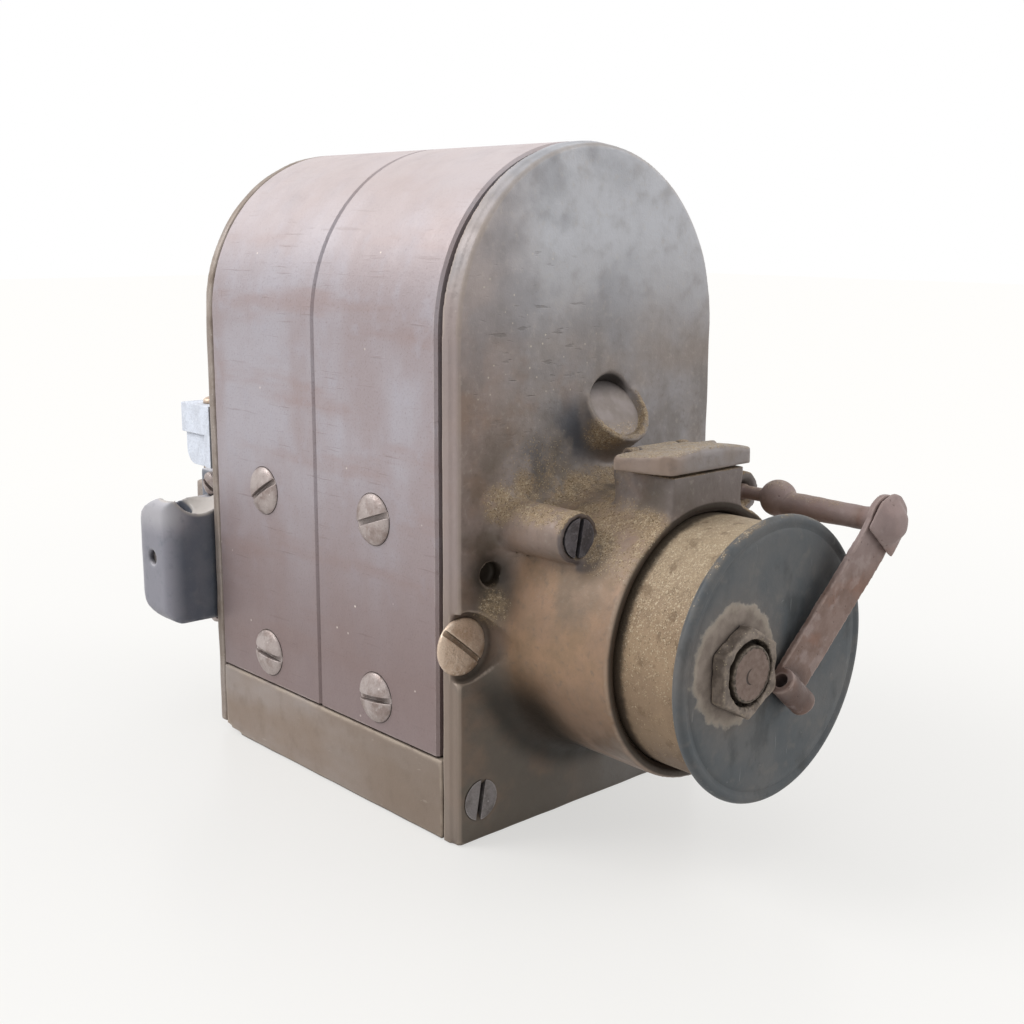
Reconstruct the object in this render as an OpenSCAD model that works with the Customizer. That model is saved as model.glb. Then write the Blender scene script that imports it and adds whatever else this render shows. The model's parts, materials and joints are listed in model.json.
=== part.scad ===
// Ignition magneto with two horseshoe magnets, in millimetres, +Z up.
// The origin is the centre of the base face. +Y points to the drive end,
// and +X is to the right seen from the contact breaker end.

/* [Body] */
// Width over the magnets and end plates
body_w = 78; // [76:0.5:84]
// Height of the shaft axis above the base face
shaft_h = 45; // [44.5:0.5:46]
// Height of the centre of the magnet arch
arch_h = 106.5; // [103:0.5:112]
// Width of one horseshoe magnet along the shaft
magnet_w = 42.9; // [41:0.1:46]
// Thickness of a magnet limb
magnet_t = 10; // [9:0.25:10.5]
// Thickness of the front end plate
front_plate_t = 4.9; // [4.5:0.1:6]
// Open gap between the front plate and the magnets
magnet_gap = 1.5; // [0.8:0.1:2]
// Thickness of the rear end plate
rear_plate_t = 3.4; // [3:0.1:5]
// Height of the base below the magnets
base_h = 18; // [17:0.5:18.5]

/* [Base mounting] */
// Spacing of the tapped holes across the base
hole_pitch_x = 50; // [46:1:54]
// Spacing of the tapped holes along the base
hole_pitch_y = 50; // [46:1:56]
// Radius of a tapped hole
base_hole_r = 4; // [3:0.5:4]

/* [Breaker end] */
// Outer radius of the neck
neck_r = 29.2; // [28.8:0.1:31]
// Length of the neck in front of the plate
neck_len = 32.8; // [31:0.1:36]
// Radius of the concave blend at the root of the neck
neck_blend = 6.5; // [4:0.5:7]
// Outer radius of the timing ring
ring_r = 26.4; // [26:0.1:26.6]
// Length of the timing ring in front of the neck
ring_out = 15.4; // [14:0.1:18]
// Running clearance of the timing ring in the neck
ring_fit = 0.06; // [0.03:0.01:0.1]
// Radius of the breaker cover
cover_r = 29; // [28.5:0.1:30]
// Thickness of the breaker cover
cover_t = 2.7; // [2.4:0.1:4]

/* [Cover clip] */
// Distance of the clip post from the shaft axis
clip_r = 37.1; // [36.5:0.1:39]
// Length of the clip post from the neck's front plane
clip_reach = 22.4; // [22:0.1:25]
// Width of the spring arm
arm_w = 10; // [9:0.25:10.5]
// Thickness of the spring arm
arm_t = 1.3; // [1:0.1:1.6]

/* [Drive end] */
// Radius of the shaft in its bearings
shaft_r = 7.5; // [7:0.1:7.6]
// Length of the taper for the coupling
taper_len = 18; // [15:1:24]
// Length of the threaded end
thread_len = 13; // [10:1:18]

/* [High tension pickup] */
// Reach of the pickup from the shaft axis
pickup_reach = 51; // [50:0.5:56]
// Radius of the socket for the lead
lead_r = 3.6; // [3:0.1:4]

/* [Hidden] */
$fn = 48;

// Clearances
cut = 0.5;
loose = 0.05;
seam = 0.2;
ledge = 0.4;

// Main planes along the shaft
half_w = body_w / 2;
body_len = front_plate_t + magnet_gap + 2 * magnet_w + 2 * seam + rear_plate_t;
front_y = -body_len / 2;
rear_y = body_len / 2;
front_in = front_y + front_plate_t;
rear_in = rear_y - rear_plate_t;
mag1_y = front_in + magnet_gap;
mag2_y = mag1_y + magnet_w + seam;
mid_y = mag2_y - seam / 2;
base_top = base_h - ledge / 2;
mag_z = base_h + ledge / 2;
pole_w = half_w - magnet_t;
pole_margin = 6;
pole_len = 2 * (magnet_w - pole_margin);
pole_gap = 10;
bore_r = 22.4;

// Screws of the body
screw_z = [25.7, shaft_h + 21];
screw_y = [mag1_y + magnet_w / 2, mag2_y + magnet_w / 2];
m6_r = 3;
m6_head = 5.75;
m6_sink = 2.6;
pole_screw_x = (pole_gap + pole_w) / 2 + 1;
pole_screw_dy = 9;
corner_x = half_w - 6.6;
corner_z = 8.7;
rim_x = half_w - 2.6;
rim_z = shaft_h - 1.9;
rim_head = 6.2;
rim_room = 1.3;
rear_boss_r = 30;
rear_blend = 2;
rear_head = 3.4;
rear_top_x = half_w - 16;
rear_top_r = rear_boss_r + rear_blend + rear_head + 0.45;
rear_top_z = shaft_h + sqrt(rear_top_r * rear_top_r - rear_top_x * rear_top_x);
pole_top = rear_top_z + 3.5;

// Breaker end
panel_t = 2;
panel_inset = 0.4;
panel_bevel = 0.6;
flange_t = front_plate_t - panel_t;
neck_y = front_y - neck_len;
ring_y = neck_y - ring_out;
cover_y = ring_y - cover_t;
ring_bore = 22.5;
ring_in = 8.6;
race_w = 8;
race_r = 17.5;
chamber_y = front_in - race_w - 3;
chamber_r = 24;
lever_a = -32;
lever_r = 33;
well_w = 22;
well_x0 = -11.2;
lid_w = 26;
lid_x0 = -13.2;
lid_t = 5;
lid_rear_t = 4;
lid_flare = 3;
lid_z = shaft_h + 35.6;
lid_y0 = neck_y - 0.7;
lid_y1 = neck_y + 14.6;
hinge_y = lid_y1;
hinge_z = lid_z + 1.7;
boss_x = -24.5;
boss_z = shaft_h + 23;
boss_r = 5.2;
boss_len = 20;
pit_x = boss_x - 5.5;
pit_z = boss_z - 10.2;
pit_r = 2.6;
oil_x = 4.6;
oil_z = shaft_h + 45.2;
oil_tilt = 36;
oil_out = 2.6;
oil_r = 7.2;
oil_wall = 1.7;
oil_deep = 2.6;
oil_plug_t = 1.2;
term_x = -12.6;
term_z = shaft_h + 1;
term_flat = 15.8;

// Cover clip
clip_a = 44.3;
clip_x = clip_r * cos(clip_a);
clip_z = shaft_h + clip_r * sin(clip_a);
clip_boss_y = front_y - 21;
lug_r = 4.6;
spigot_r = 1.8;
stub_r = 1.5;
clip_ball = 4;
clip_ball_y = neck_y + 2.9;
rod_drop = 0.9;
clip_nut_t = 3.6;
clip_front = neck_y - clip_reach;
eye_r = 2.75;
eye_x = 0.7;
eye_z = shaft_h - 5.6;
arm_dx = eye_x - clip_x;
arm_top_z = clip_z - rod_drop;
arm_dz = eye_z - arm_top_z;
arm_len = sqrt(arm_dx * arm_dx + arm_dz * arm_dz);
arm_turn = atan2(-arm_dz, arm_dx);
eye_y = cover_y - 0.3 - eye_r;
arm_y = clip_front - arm_t / 2;
arm_bend = arm_w / 2 + 1;
arm_tip = arm_len + 0.4;
arm_fall = (eye_y + eye_r - arm_t / 2 - 0.25 - arm_y) * (arm_tip - arm_bend) / (arm_len - arm_bend);

// Armature and drive end
core_r = bore_r - 0.5;
end_room = 2.5;
cheek_t = 4;
rim_len = 8;
core_len = 2 * (mid_y - front_in - end_room - rim_len - cheek_t);
core_y0 = mid_y - core_len / 2;
core_y1 = mid_y + core_len / 2;
cheek_r = core_r - 1;
cheek_bore = 17.8;
web_h = 6;
slot_h = 10;
inner_r = 10.4;
outer_r = 14.6;
pitch_r = 12.5;
ball_r = 3.1;
groove_r = 3.25;
slip_y = rear_y + 9.7;
rear_race_y = rear_y + 17.2;
rear_seat_x = -rear_boss_r - 0.1;
shoulder_r = 13;
slip_room_r = 23;
end_cover_r = 27;
end_screw_pitch = 22.5;
seal_r = 11.1;
seal_t = 2.4;
rear_end = rear_race_y + race_w;
end_cover_t = 4;
cover_end = rear_end + end_cover_t;
taper_y = cover_end + 2.5;
slip_hub_r = 14;
slip_rim_r = 18;
slip_half = 6.8;
track_half = 4.1;
track_r = 16;
thread_y = taper_y + taper_len;
shaft_end = thread_y + thread_len;
taper_r = shaft_r - taper_len / 10;
thread_r = 4;

// Contact breaker
plate_y = neck_y - 1;
plate_t = 4;
disc_r = 17.5;
pivot = [-10.5, -9];
heel_r = 19.9;
cam_r = 20.3;

// Pickup
pk_y0 = rear_y + 0.8;
pk_y1 = rear_y + 19.4;
pk_x1 = -rear_boss_r - 0.3;
pk_z0 = shaft_h - 16.4;
pk_z1 = shaft_h + 16.2;
pk_edge = 4;
pk_top_r = 16;
pk_low_r = 15;
lead_x = -pickup_reach + 7.8;
lead_end = pk_z0 + 12;
side_screw_in = 1.4;
brush_r = 3;
brush_len = 14;
dish_r = 9;
dish_x = lead_x + 2;
dish_y = slip_y - 4.7;
dish_z = pk_z1 + 3.6;
snout_r = 8.6;
bracket_x = -half_w + 0.2;
bracket_w = 11;
bracket_len = 13.6;
bracket_z0 = shaft_h + 22.8;
bracket_z1 = shaft_h + 38.5;
bracket_screw_z = shaft_h + 27.4;
bracket_screw_x = bracket_x + 5.8;
lead_screw_x = bracket_x + 5.3;

// Points of an arc
function arc(cx, cy, r, a0, a1, n) =
  [for (i = [0:n]) [cx + r * cos(a0 + (a1 - a0) * i / n), cy + r * sin(a0 + (a1 - a0) * i / n)]];

// Local Z along +Y, on the shaft axis
module on_shaft(y) {
  translate([0, y, shaft_h]) rotate([-90, 0, 0]) children();
}

// Local Z along -Y, at a point of the front
module to_front(x, y, z) {
  translate([x, y, z]) rotate([90, 0, 0]) children();
}

// Local Z along +Y, at a point of the rear
module to_rear(x, y, z) {
  translate([x, y, z]) rotate([-90, 0, 0]) children();
}

module rod(r, y0, y1) {
  on_shaft(y0) cylinder(r = r, h = y1 - y0);
}

module tube(ro, ri, y0, y1) {
  difference() {
    rod(ro, y0, y1);
    rod(ri, y0 - cut, y1 + cut);
  }
}

// Plate with a round top and a bevel round its front edge
module dome_plate(y_back, half, z0, t, bevel) {
  to_front(0, y_back, arch_h)
    rotate_extrude(angle = 180)
      polygon([[0, 0], [half, 0], [half, t - bevel], [half - bevel, t], [0, t]]);
  translate([0, y_back, z0])
    linear_extrude(height = arch_h - z0)
      polygon([[-half, 0], [half, 0], [half, bevel - t], [half - bevel, -t],
        [bevel - half, -t], [-half, bevel - t]]);
}

// Low dome that stands on the plane z = 0
module cap(r, h) {
  rotate_extrude() polygon(concat([[0, 0]], [for (i = [0:4]) [r * cos(18 * i), h * sin(18 * i)]], [[0, h]]));
}

// Countersunk screw with its head's edge at z = 0, pointing down
module sunk_screw(head, sink, shank, len, crown, turn) {
  difference() {
    union() {
      translate([0, 0, -sink]) cylinder(r1 = shank, r2 = head, h = sink);
      translate([0, 0, -len]) cylinder(r = shank, h = len - sink + 0.01);
      if (crown > 0) cap(head, crown);
    }
    rotate([0, 0, turn]) translate([-head - 1, -0.65, crown - 1.5]) cube([2 * head + 2, 1.3, 3]);
  }
}

// Hole for such a screw
module sunk_hole(head, sink, shank, len) {
  translate([0, 0, -sink]) cylinder(r1 = shank + 2 * loose, r2 = head + 2 * loose, h = sink);
  translate([0, 0, -0.001]) cylinder(r = head + 2 * loose, h = cut);
  translate([0, 0, -len]) cylinder(r = shank + loose, h = len - sink + 0.02);
}

// Pan head screw standing on z = 0, pointing down
module pan_screw(head, h, shank, len, turn) {
  difference() {
    union() {
      cylinder(r = head, h = 0.4 * h);
      translate([0, 0, 0.4 * h]) cap(head, 0.6 * h);
      translate([0, 0, -len]) cylinder(r = shank, h = len + 0.01);
    }
    rotate([0, 0, turn]) translate([-head - 1, -0.6, h - 1.3]) cube([2 * head + 2, 1.2, 3]);
  }
}

module at_corner_screws() {
  for (s = [-1, 1]) to_front(s * corner_x, front_y, corner_z) children();
}

module at_rim_screws() {
  for (s = [-1, 1]) to_front(s * rim_x, front_in - flange_t, rim_z) children();
}

module at_rear_screws() {
  for (s = [-1, 1]) {
    to_rear(s * corner_x, rear_y, corner_z + 1) children();
    to_rear(s * rear_top_x, rear_y, rear_top_z) children();
  }
}

module at_pole_screws() {
  for (sx = [-1, 1]) for (sy = [-1, 1])
    translate([sx * pole_screw_x, mid_y + sy * pole_screw_dy, 0]) rotate([180, 0, 0]) children();
}

// Local Z out of the mouth of the oil cup
module at_oil_cup() {
  translate([oil_x, front_y - oil_out, oil_z]) rotate([90 - oil_tilt, 0, 0]) children();
}

// Base of the body
module base_casting() {
  color("#8f8474") difference() {
    translate([-half_w, front_in, 0]) cube([body_w, rear_in - front_in, base_top]);
    for (sx = [-1, 1]) for (sy = [-1, 1])
      translate([sx * hole_pitch_x / 2, sy * hole_pitch_y / 2, -cut])
        cylinder(r = base_hole_r, h = 13 + cut);
    at_pole_screws() sunk_hole(5, 2.8, 2.5, base_top + cut);
    at_corner_screws() translate([0, 0, -16]) cylinder(r = 2 + loose, h = 16 + cut);
    for (s = [-1, 1]) to_rear(s * corner_x, rear_y, corner_z + 1)
      translate([0, 0, -16]) cylinder(r = 2 + loose, h = 16 + cut);
    translate([-half_w - cut, rear_in + cut, 0]) rotate([0, 90, 0]) linear_extrude(height = body_w + 2 * cut)
      polygon([[cut, cut], [-1.3, cut], [-1.3, 0], [0, -7], [cut, -7]]);
  }
}

// Front end housing with the neck, the bosses and the oil well
module front_housing() {
  color("#98897a") difference() {
    union() {
      dome_plate(front_in, half_w, 0, flange_t, 0.5);
      dome_plate(front_in - flange_t + 0.01, half_w - panel_inset, 0, panel_t + 0.01, panel_bevel);
      to_front(0, front_y, shaft_h) rotate_extrude() polygon(concat(
        [[0, -1], [neck_r + neck_blend, -1]],
        arc(neck_r + neck_blend, neck_blend, neck_blend, 270, 180, 8),
        [[neck_r, neck_len - 0.8], [neck_r - 0.8, neck_len], [0, neck_len]]));
      // Oil well under the lid
      translate([well_x0, neck_y + 0.3, shaft_h + 20])
        cube([well_w, lid_y1 - neck_y + 1.7, lid_z - shaft_h - 20 - 0.5]);
      for (s = [-1, 1]) translate([s * 7.9 - 1.4, hinge_y, hinge_z]) rotate([0, 90, 0])
        cylinder(r = 1.9, h = 2.8);
      for (s = [-1, 1]) translate([s * 7.9 - 1.4, hinge_y - 1.9, lid_z - 1.2])
        cube([2.8, 3.8, hinge_z - lid_z + 1.2]);
      // Blank boss on the left and post boss on the right
      to_front(boss_x, front_y + 1, boss_z) cylinder(r = boss_r, h = boss_len + 1);
      to_front(clip_x, front_y + 1, clip_z) cylinder(r = lug_r, h = front_y - clip_boss_y + 1);
      on_shaft(clip_boss_y) rotate([0, 0, -clip_a])
        translate([neck_r - 5, -3.8, 0]) cube([clip_r - neck_r + 5, 7.6, front_y - clip_boss_y + 1]);
      // Oil cup leaning up and forward
      intersection() {
        at_oil_cup() translate([0, 0, -20]) cylinder(r = oil_r + oil_wall, h = 20);
        translate([-30, front_y - 30, oil_z - 30]) cube([60, 30 + 1, 60]);
      }
    }
    // Bearing seat and breaker chamber
    rod(race_r + loose, front_in - race_w, front_in + cut);
    rod(shoulder_r, chamber_y - cut, front_in);
    rod(chamber_r, neck_y - cut, chamber_y);
    rod(ring_r + ring_fit, neck_y - cut, neck_y + ring_in + 0.4);
    on_shaft(neck_y - 0.01) cylinder(r1 = ring_r + 1.3, r2 = ring_r, h = 1.3);
    // Earth brush pocket
    to_front(0, front_in + cut, shaft_h - race_r - 2.9) cylinder(r = 1.6, h = 7.4 + cut);
    // Screw holes
    at_corner_screws() sunk_hole(4.5, 2.4, 2, 20);
    at_rim_screws() translate([0, 0, -0.2]) cylinder(r = rim_head + rim_room, h = 10);
    at_rim_screws() translate([0, 0, -8]) cylinder(r = 1.7 + loose, h = 10);
    to_front(boss_x, front_y - boss_len + 14, boss_z) cylinder(r = 2.5 + loose, h = 14 + cut);
    to_front(boss_x, front_y - boss_len + 2, boss_z) cylinder(r = 4 + loose, h = 2 + cut);
    to_front(pit_x, front_y + 2.5, pit_z) cylinder(r = pit_r, h = 4);
    // Clip post
    to_front(clip_x, clip_boss_y + 16, clip_z) cylinder(r = spigot_r + loose, h = 16 + cut);
    to_front(clip_x, clip_boss_y + 1.4, clip_z) cylinder(r = 3, h = 1.4 + cut);
    post_pin_shape(loose, 5.4);
    // Oil well, lid pin and oil cup
    translate([0, neck_y + 7.5, lid_z - 7]) cylinder(r = 1.8, h = 8);
    translate([-12, hinge_y, hinge_z]) rotate([0, 90, 0]) cylinder(r = 1 + loose, h = 24);
    at_oil_cup() translate([0, 0, -oil_deep]) cylinder(r = oil_r, h = oil_deep + 8);
  }
}

// Rear end housing with the slip ring chamber
module rear_housing() {
  color("#958777") difference() {
    union() {
      mirror([0, 1, 0]) dome_plate(-rear_in, half_w, 1.5, rear_plate_t, 0.8);
      to_rear(0, rear_y, shaft_h) rotate_extrude() polygon(concat(
        [[0, -1], [rear_boss_r + rear_blend, -1]],
        arc(rear_boss_r + rear_blend, rear_blend, rear_blend, 270, 180, 6),
        [[rear_boss_r, rear_end - rear_y - 0.8], [rear_boss_r - 0.8, rear_end - rear_y],
          [0, rear_end - rear_y]]));
      translate([rear_seat_x, rear_y - 1, shaft_h - 16]) cube([20, rear_end - rear_y - 1, 32]);
      translate([rear_seat_x, pk_y0, pk_z0 - 4]) cube([14, pk_y1 - pk_y0, pk_z1 - pk_z0 + 8]);
    }
    // Flat seat of the pickup
    translate([rear_seat_x - 4, rear_y + 0.5, pk_z0 - 4.3])
      cube([4, pk_y1 - rear_y, pk_z1 - pk_z0 + 8.6]);
    rod(slip_room_r, rear_in - cut, slip_y + slip_half + 0.2);
    rod(shoulder_r, slip_y, rear_race_y + cut);
    rod(race_r + loose, rear_race_y, rear_end + cut);
    translate([-rear_boss_r - cut, slip_y, shaft_h]) rotate([0, 90, 0]) cylinder(r = snout_r + 0.2, h = 12);
    at_pickup_screws() translate([0, 0, -9]) cylinder(r = 1.6 + loose, h = 9 + cut);
    at_rear_screws() translate([0, 0, -9]) cylinder(r = 2 + loose, h = 10);
    at_end_screws() translate([0, 0, -9]) cylinder(r = 1.6 + loose, h = 9 + cut);
    translate([bracket_screw_x, rear_y - 2.6, bracket_screw_z]) rotate([-90, 0, 0])
      cylinder(r = 1.5 + loose, h = 3.2);
  }
}

// Horseshoe magnet with countersunk holes in both limbs
module magnet(y0, sy) {
  difference() {
    union() {
      to_front(0, y0 + magnet_w, arch_h) rotate_extrude(angle = 180)
        polygon([[pole_w, 0], [half_w - 0.6, 0], [half_w, 0.6], [half_w, magnet_w - 0.6],
          [half_w - 0.6, magnet_w], [pole_w, magnet_w]]);
      for (s = [0, 1]) mirror([s, 0, 0]) translate([0, y0, mag_z])
        linear_extrude(height = arch_h - mag_z)
          polygon([[pole_w, 0], [half_w - 0.6, 0], [half_w, 0.6], [half_w, magnet_w - 0.6],
            [half_w - 0.6, magnet_w], [pole_w, magnet_w]]);
    }
    for (s = [0, 1]) mirror([s, 0, 0]) for (z = screw_z)
      translate([half_w, sy, z]) rotate([0, 90, 0]) sunk_hole(m6_head, m6_sink, m6_r + 0.2, 12);
  }
}

module front_magnet() {
  color("#a69798") difference() {
    magnet(mag1_y, screw_y[0]);
    at_rim_screws() translate([0, 0, -flange_t - magnet_gap - 6.4]) cylinder(r = 1.7 + loose, h = 6.4 + cut);
  }
}

module rear_magnet() {
  color("#a69798") magnet(mag2_y, screw_y[1]);
}

// Soft iron pole shoe, drawn on the right
module pole_shoe() {
  difference() {
    translate([0, mid_y + pole_len / 2, 0]) rotate([90, 0, 0]) linear_extrude(height = pole_len)
      difference() {
        translate([pole_gap, base_top]) square([pole_w - pole_gap, pole_top - base_top]);
        translate([0, shaft_h]) circle(r = bore_r);
      }
    for (y = screw_y) for (z = screw_z)
      translate([pole_w - 11, y, z]) rotate([0, 90, 0]) cylinder(r = m6_r + loose, h = 12);
    for (sy = [-1, 1]) translate([pole_screw_x, mid_y + sy * pole_screw_dy, base_top - cut])
      cylinder(r = 2.5 + loose, h = 8.5 + cut);
    to_rear(rear_top_x, mid_y + pole_len / 2 - 9, rear_top_z) cylinder(r = 2 + loose, h = 10);
  }
}

module right_pole_shoe() {
  color("#6e6a66") pole_shoe();
}

module left_pole_shoe() {
  color("#6e6a66") mirror([1, 0, 0]) pole_shoe();
}

module magnet_screws() {
  turns = [65, 20, 120, 85, 84, 71, 95, 59];
  color("#9a8e8c") for (s = [0, 1]) mirror([s, 0, 0]) for (i = [0, 1]) for (j = [0, 1])
    translate([half_w, screw_y[i], screw_z[j]]) rotate([0, 90, 0])
      sunk_screw(m6_head, m6_sink, m6_r, magnet_t + 9.5, 1.5, turns[4 * s + 2 * i + j]);
}

module pole_screws() {
  color("#6c6864") at_pole_screws() sunk_screw(5, 2.8, 2.5, base_top + 8, 0, 30);
}

module rim_screws() {
  color("#c8b49c") at_rim_screws() translate([0, 0, -0.2])
    pan_screw(rim_head, 1.7, 1.7, flange_t + magnet_gap + 5.8, -40);
}

module corner_screws() {
  color("#6e6a6a") at_corner_screws() sunk_screw(4.5, 2.4, 2, front_plate_t + 9, 0, 80);
}

module rear_screws() {
  color("#8d8478") {
    for (s = [-1, 1]) {
      to_rear(s * corner_x, rear_y, corner_z + 1) pan_screw(rear_head, 2.4, 2, rear_plate_t + 10, 25);
      to_rear(s * rear_top_x, rear_y, rear_top_z)
        pan_screw(rear_head, 2.4, 2, rear_y - mid_y - pole_len / 2 + 8, 70);
    }
  }
}

module boss_screw() {
  color("#8c7c6c") to_front(boss_x, front_y - boss_len + 2, boss_z) difference() {
    union() {
      cylinder(r = 4, h = 2.2);
      translate([0, 0, -9]) cylinder(r = 2.5, h = 9.01);
    }
    rotate([0, 0, 80]) translate([-5, -0.6, 1]) cube([10, 1.2, 3]);
  }
}

module oil_plug() {
  color("#b9b2a6") at_oil_cup() translate([0, 0, -oil_deep]) cylinder(r = oil_r - loose, h = oil_plug_t);
}

module oil_lid() {
  lid_side = atan2(lid_flare, hinge_y - 2.3 - lid_y0);
  color("#a08f7c") difference() {
    union() {
      translate([lid_x0 - lid_flare, 0, lid_z]) rotate([90, 0, 90])
        linear_extrude(height = lid_w + 2 * lid_flare)
          polygon([[lid_y0, 0], [hinge_y - 2.3, 0], [hinge_y - 2.3, lid_rear_t - 1.4],
            [hinge_y - 3.6, lid_rear_t], [lid_y0 + 1.2, lid_t], [lid_y0 + 0.3, lid_t - 0.6],
            [lid_y0, lid_t - 1.6]]);
      translate([-6, hinge_y, hinge_z]) rotate([0, 90, 0]) cylinder(r = 1.9, h = 12);
      translate([-6, hinge_y - 3, hinge_z - 1]) cube([12, 3, 2]);
    }
    translate([-12, hinge_y, hinge_z]) rotate([0, 90, 0]) cylinder(r = 1 + loose, h = 24);
    // Slanting sides with a bevel along the top
    for (m = [0, 1]) translate([m ? lid_x0 : lid_x0 + lid_w, lid_y0, lid_z]) mirror([m, 0, 0])
      rotate([0, 0, -lid_side]) {
        translate([0, -5, -cut]) cube([10, 30, lid_t + 2 * cut]);
        translate([0.2, -5, lid_t]) rotate([0, 35, 0]) translate([-4, 0, 0]) cube([8, 30, 4]);
      }
  }
}

module lid_pin() {
  color("#77716a") translate([-9.2, hinge_y, hinge_z]) rotate([0, 90, 0]) cylinder(r = 1, h = 18.4);
}

// Timing ring, with the ear for its control rod
module timing_ring() {
  color("#97836a") difference() {
    union() {
      rod(ring_r, ring_y, neck_y + ring_in);
      on_shaft(neck_y - 9) rotate([0, 0, -lever_a]) {
        translate([ring_r - 3, -4.5, 0]) cube([lever_r - ring_r + 3, 9, 6]);
        translate([lever_r, 0, 0]) cylinder(r = 4.5, h = 6);
      }
    }
    rod(ring_bore, ring_y - cut, neck_y + ring_in + cut);
    on_shaft(neck_y - 10) rotate([0, 0, -lever_a]) translate([lever_r, 0, 0]) cylinder(r = 2.5, h = 8);
  }
}

module cam_segments() {
  color("#7d7a76") for (a = [60, 240])
    on_shaft(plate_y - plate_t - 7.6) rotate([0, 0, a]) rotate_extrude(angle = 60)
      translate([cam_r, 0]) square([ring_bore - loose - cam_r, 7]);
}

module breaker_cover() {
  color("#565a5e") difference() {
    union() {
      to_front(0, ring_y, shaft_h) rotate_extrude() polygon(concat(
        [[0, 0], [cover_r - 0.6, 0]],
        arc(cover_r - 1.25, 1.25, 1.25, -60, 130, 10),
        [[cover_r - 2.6, cover_t - 0.55], [cover_r - 3.4, cover_t - 0.15],
          [cover_r - 5, cover_t], [0, cover_t]]));
      rod(ring_bore - 0.2, ring_y - 0.01, ring_y + 2.4);
    }
    to_front(term_x, ring_y + 3, term_z) cylinder(r = 2.5 + loose, h = cover_t + 4);
    to_front(17.5, cover_y + 0.7, shaft_h + 2) cylinder(r = 1.3, h = 2);
  }
}

module terminal_nut() {
  color("#7d746a") to_front(term_x, cover_y, term_z) rotate([0, 0, 30]) difference() {
    cylinder(r = term_flat / sqrt(3), h = 3.2, $fn = 6);
    translate([0, 0, -cut]) cylinder(r = 6.5, h = 5);
  }
}

module terminal_stud() {
  color("#7a6a62") to_front(term_x, cover_y, term_z) {
    cylinder(r = 5.6, h = 3.4);
    translate([0, 0, -cover_t - 2.4]) cylinder(r = 2.5, h = cover_t + 2.41);
  }
}

module terminal_strip() {
  color("#a58a55") {
    translate([term_x - 3, ring_y + 2.4, shaft_h - 3]) cube([3 - term_x, 0.8, 7]);
    rod(3, ring_y + 2.4, plate_y - plate_t - 4.3);
  }
}

// Post of the cover clip
module clip_post() {
  color("#77604f") to_front(clip_x, 0, clip_z) difference() {
    union() {
      translate([0, 0, -clip_boss_y - 15]) cylinder(r = spigot_r, h = 15.1);
      translate([0, 0, -clip_boss_y]) cylinder(r = stub_r, h = clip_boss_y - clip_ball_y);
      translate([0, 0, -clip_ball_y]) sphere(r = clip_ball);
      translate([0, -rod_drop, -clip_ball_y]) cylinder(r1 = 2.8, r2 = 2.4, h = clip_ball_y - clip_front - 2);
      translate([0, -rod_drop, -clip_front - 4]) cylinder(r1 = 2.4, r2 = 2.9, h = 3.5);
      translate([0, -rod_drop, -clip_front - 1]) cylinder(r = 2, h = arm_t + clip_nut_t - 0.6);
    }
    translate([0, 0, -clip_boss_y - 11.2]) difference() {
      cylinder(r = spigot_r + 1, h = 2.4);
      translate([0, 0, -1]) cylinder(r = 1.1, h = 5);
    }
  }
}

module post_pin_shape(extra, reach) {
  on_shaft(clip_boss_y + 10) rotate([0, 0, -clip_a]) translate([clip_r - reach, -1.15 - 1 - loose, 0])
    rotate([0, 90, 0]) cylinder(r = 1 + extra, h = 2 * reach);
}

module post_pin() {
  color("#77716a") post_pin_shape(0, 4.4);
}

// Spring arm with a rolled eye that bears on the cover
module clip_arm() {
  color("#876b5e") translate([clip_x, arm_y, arm_top_z]) rotate([0, arm_turn, 0]) difference() {
    union() {
      translate([0, 0, -arm_w / 2]) linear_extrude(height = arm_w)
        polygon([[0, -arm_t / 2], [arm_bend, -arm_t / 2], [arm_tip, arm_fall - arm_t / 2],
          [arm_tip, arm_fall + arm_t / 2], [arm_bend, arm_t / 2], [0, arm_t / 2]]);
      translate([0, arm_t / 2, 0]) rotate([90, 0, 0]) cylinder(r = arm_w / 2 + 0.5, h = arm_t);
      translate([arm_len, eye_y - arm_y, -arm_w / 2]) difference() {
        cylinder(r = eye_r, h = arm_w);
        translate([0, 0, -cut]) cylinder(r = eye_r - arm_t, h = arm_w + 2 * cut);
      }
    }
    translate([0, 5, 0]) rotate([90, 0, 0]) cylinder(r = 2 + loose, h = 10);
    translate([arm_len, eye_y - arm_y, -arm_w / 2 - cut]) cylinder(r = eye_r - arm_t, h = arm_w + 2 * cut);
  }
}

// Worn nut with a faceted dome on a flat foot as wide as the arm
module clip_nut() {
  w = arm_w / 2 + 0.9;
  color("#8a6c5c") to_front(clip_x, arm_y - arm_t / 2 - 0.3, arm_top_z) difference() {
    union() {
      rotate([0, 0, -arm_turn - 90]) linear_extrude(height = 1.2)
        polygon([[-w, 5.2], [-w, -2], [2.8 - w, -5.8], [0.5, -6.4], [w - 2.4, -5.2], [w, -1.6],
          [w, 5.2]]);
      rotate([0, 0, 20]) translate([0, 0, 1]) cylinder(r1 = 5.4, r2 = 2.6, h = clip_nut_t - 1, $fn = 6);
    }
    translate([0, 0, -cut]) cylinder(r = 2 + loose, h = clip_nut_t - 1 + cut);
  }
}

// Ball bearings
module outer_race(y) {
  difference() {
    tube(race_r, outer_r, y, y + race_w);
    on_shaft(y + race_w / 2) rotate_extrude() translate([pitch_r, 0]) circle(r = groove_r);
  }
}

module inner_race(y) {
  difference() {
    tube(inner_r, shaft_r + loose, y, y + race_w);
    on_shaft(y + race_w / 2) rotate_extrude() translate([pitch_r, 0]) circle(r = groove_r);
  }
}

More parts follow.
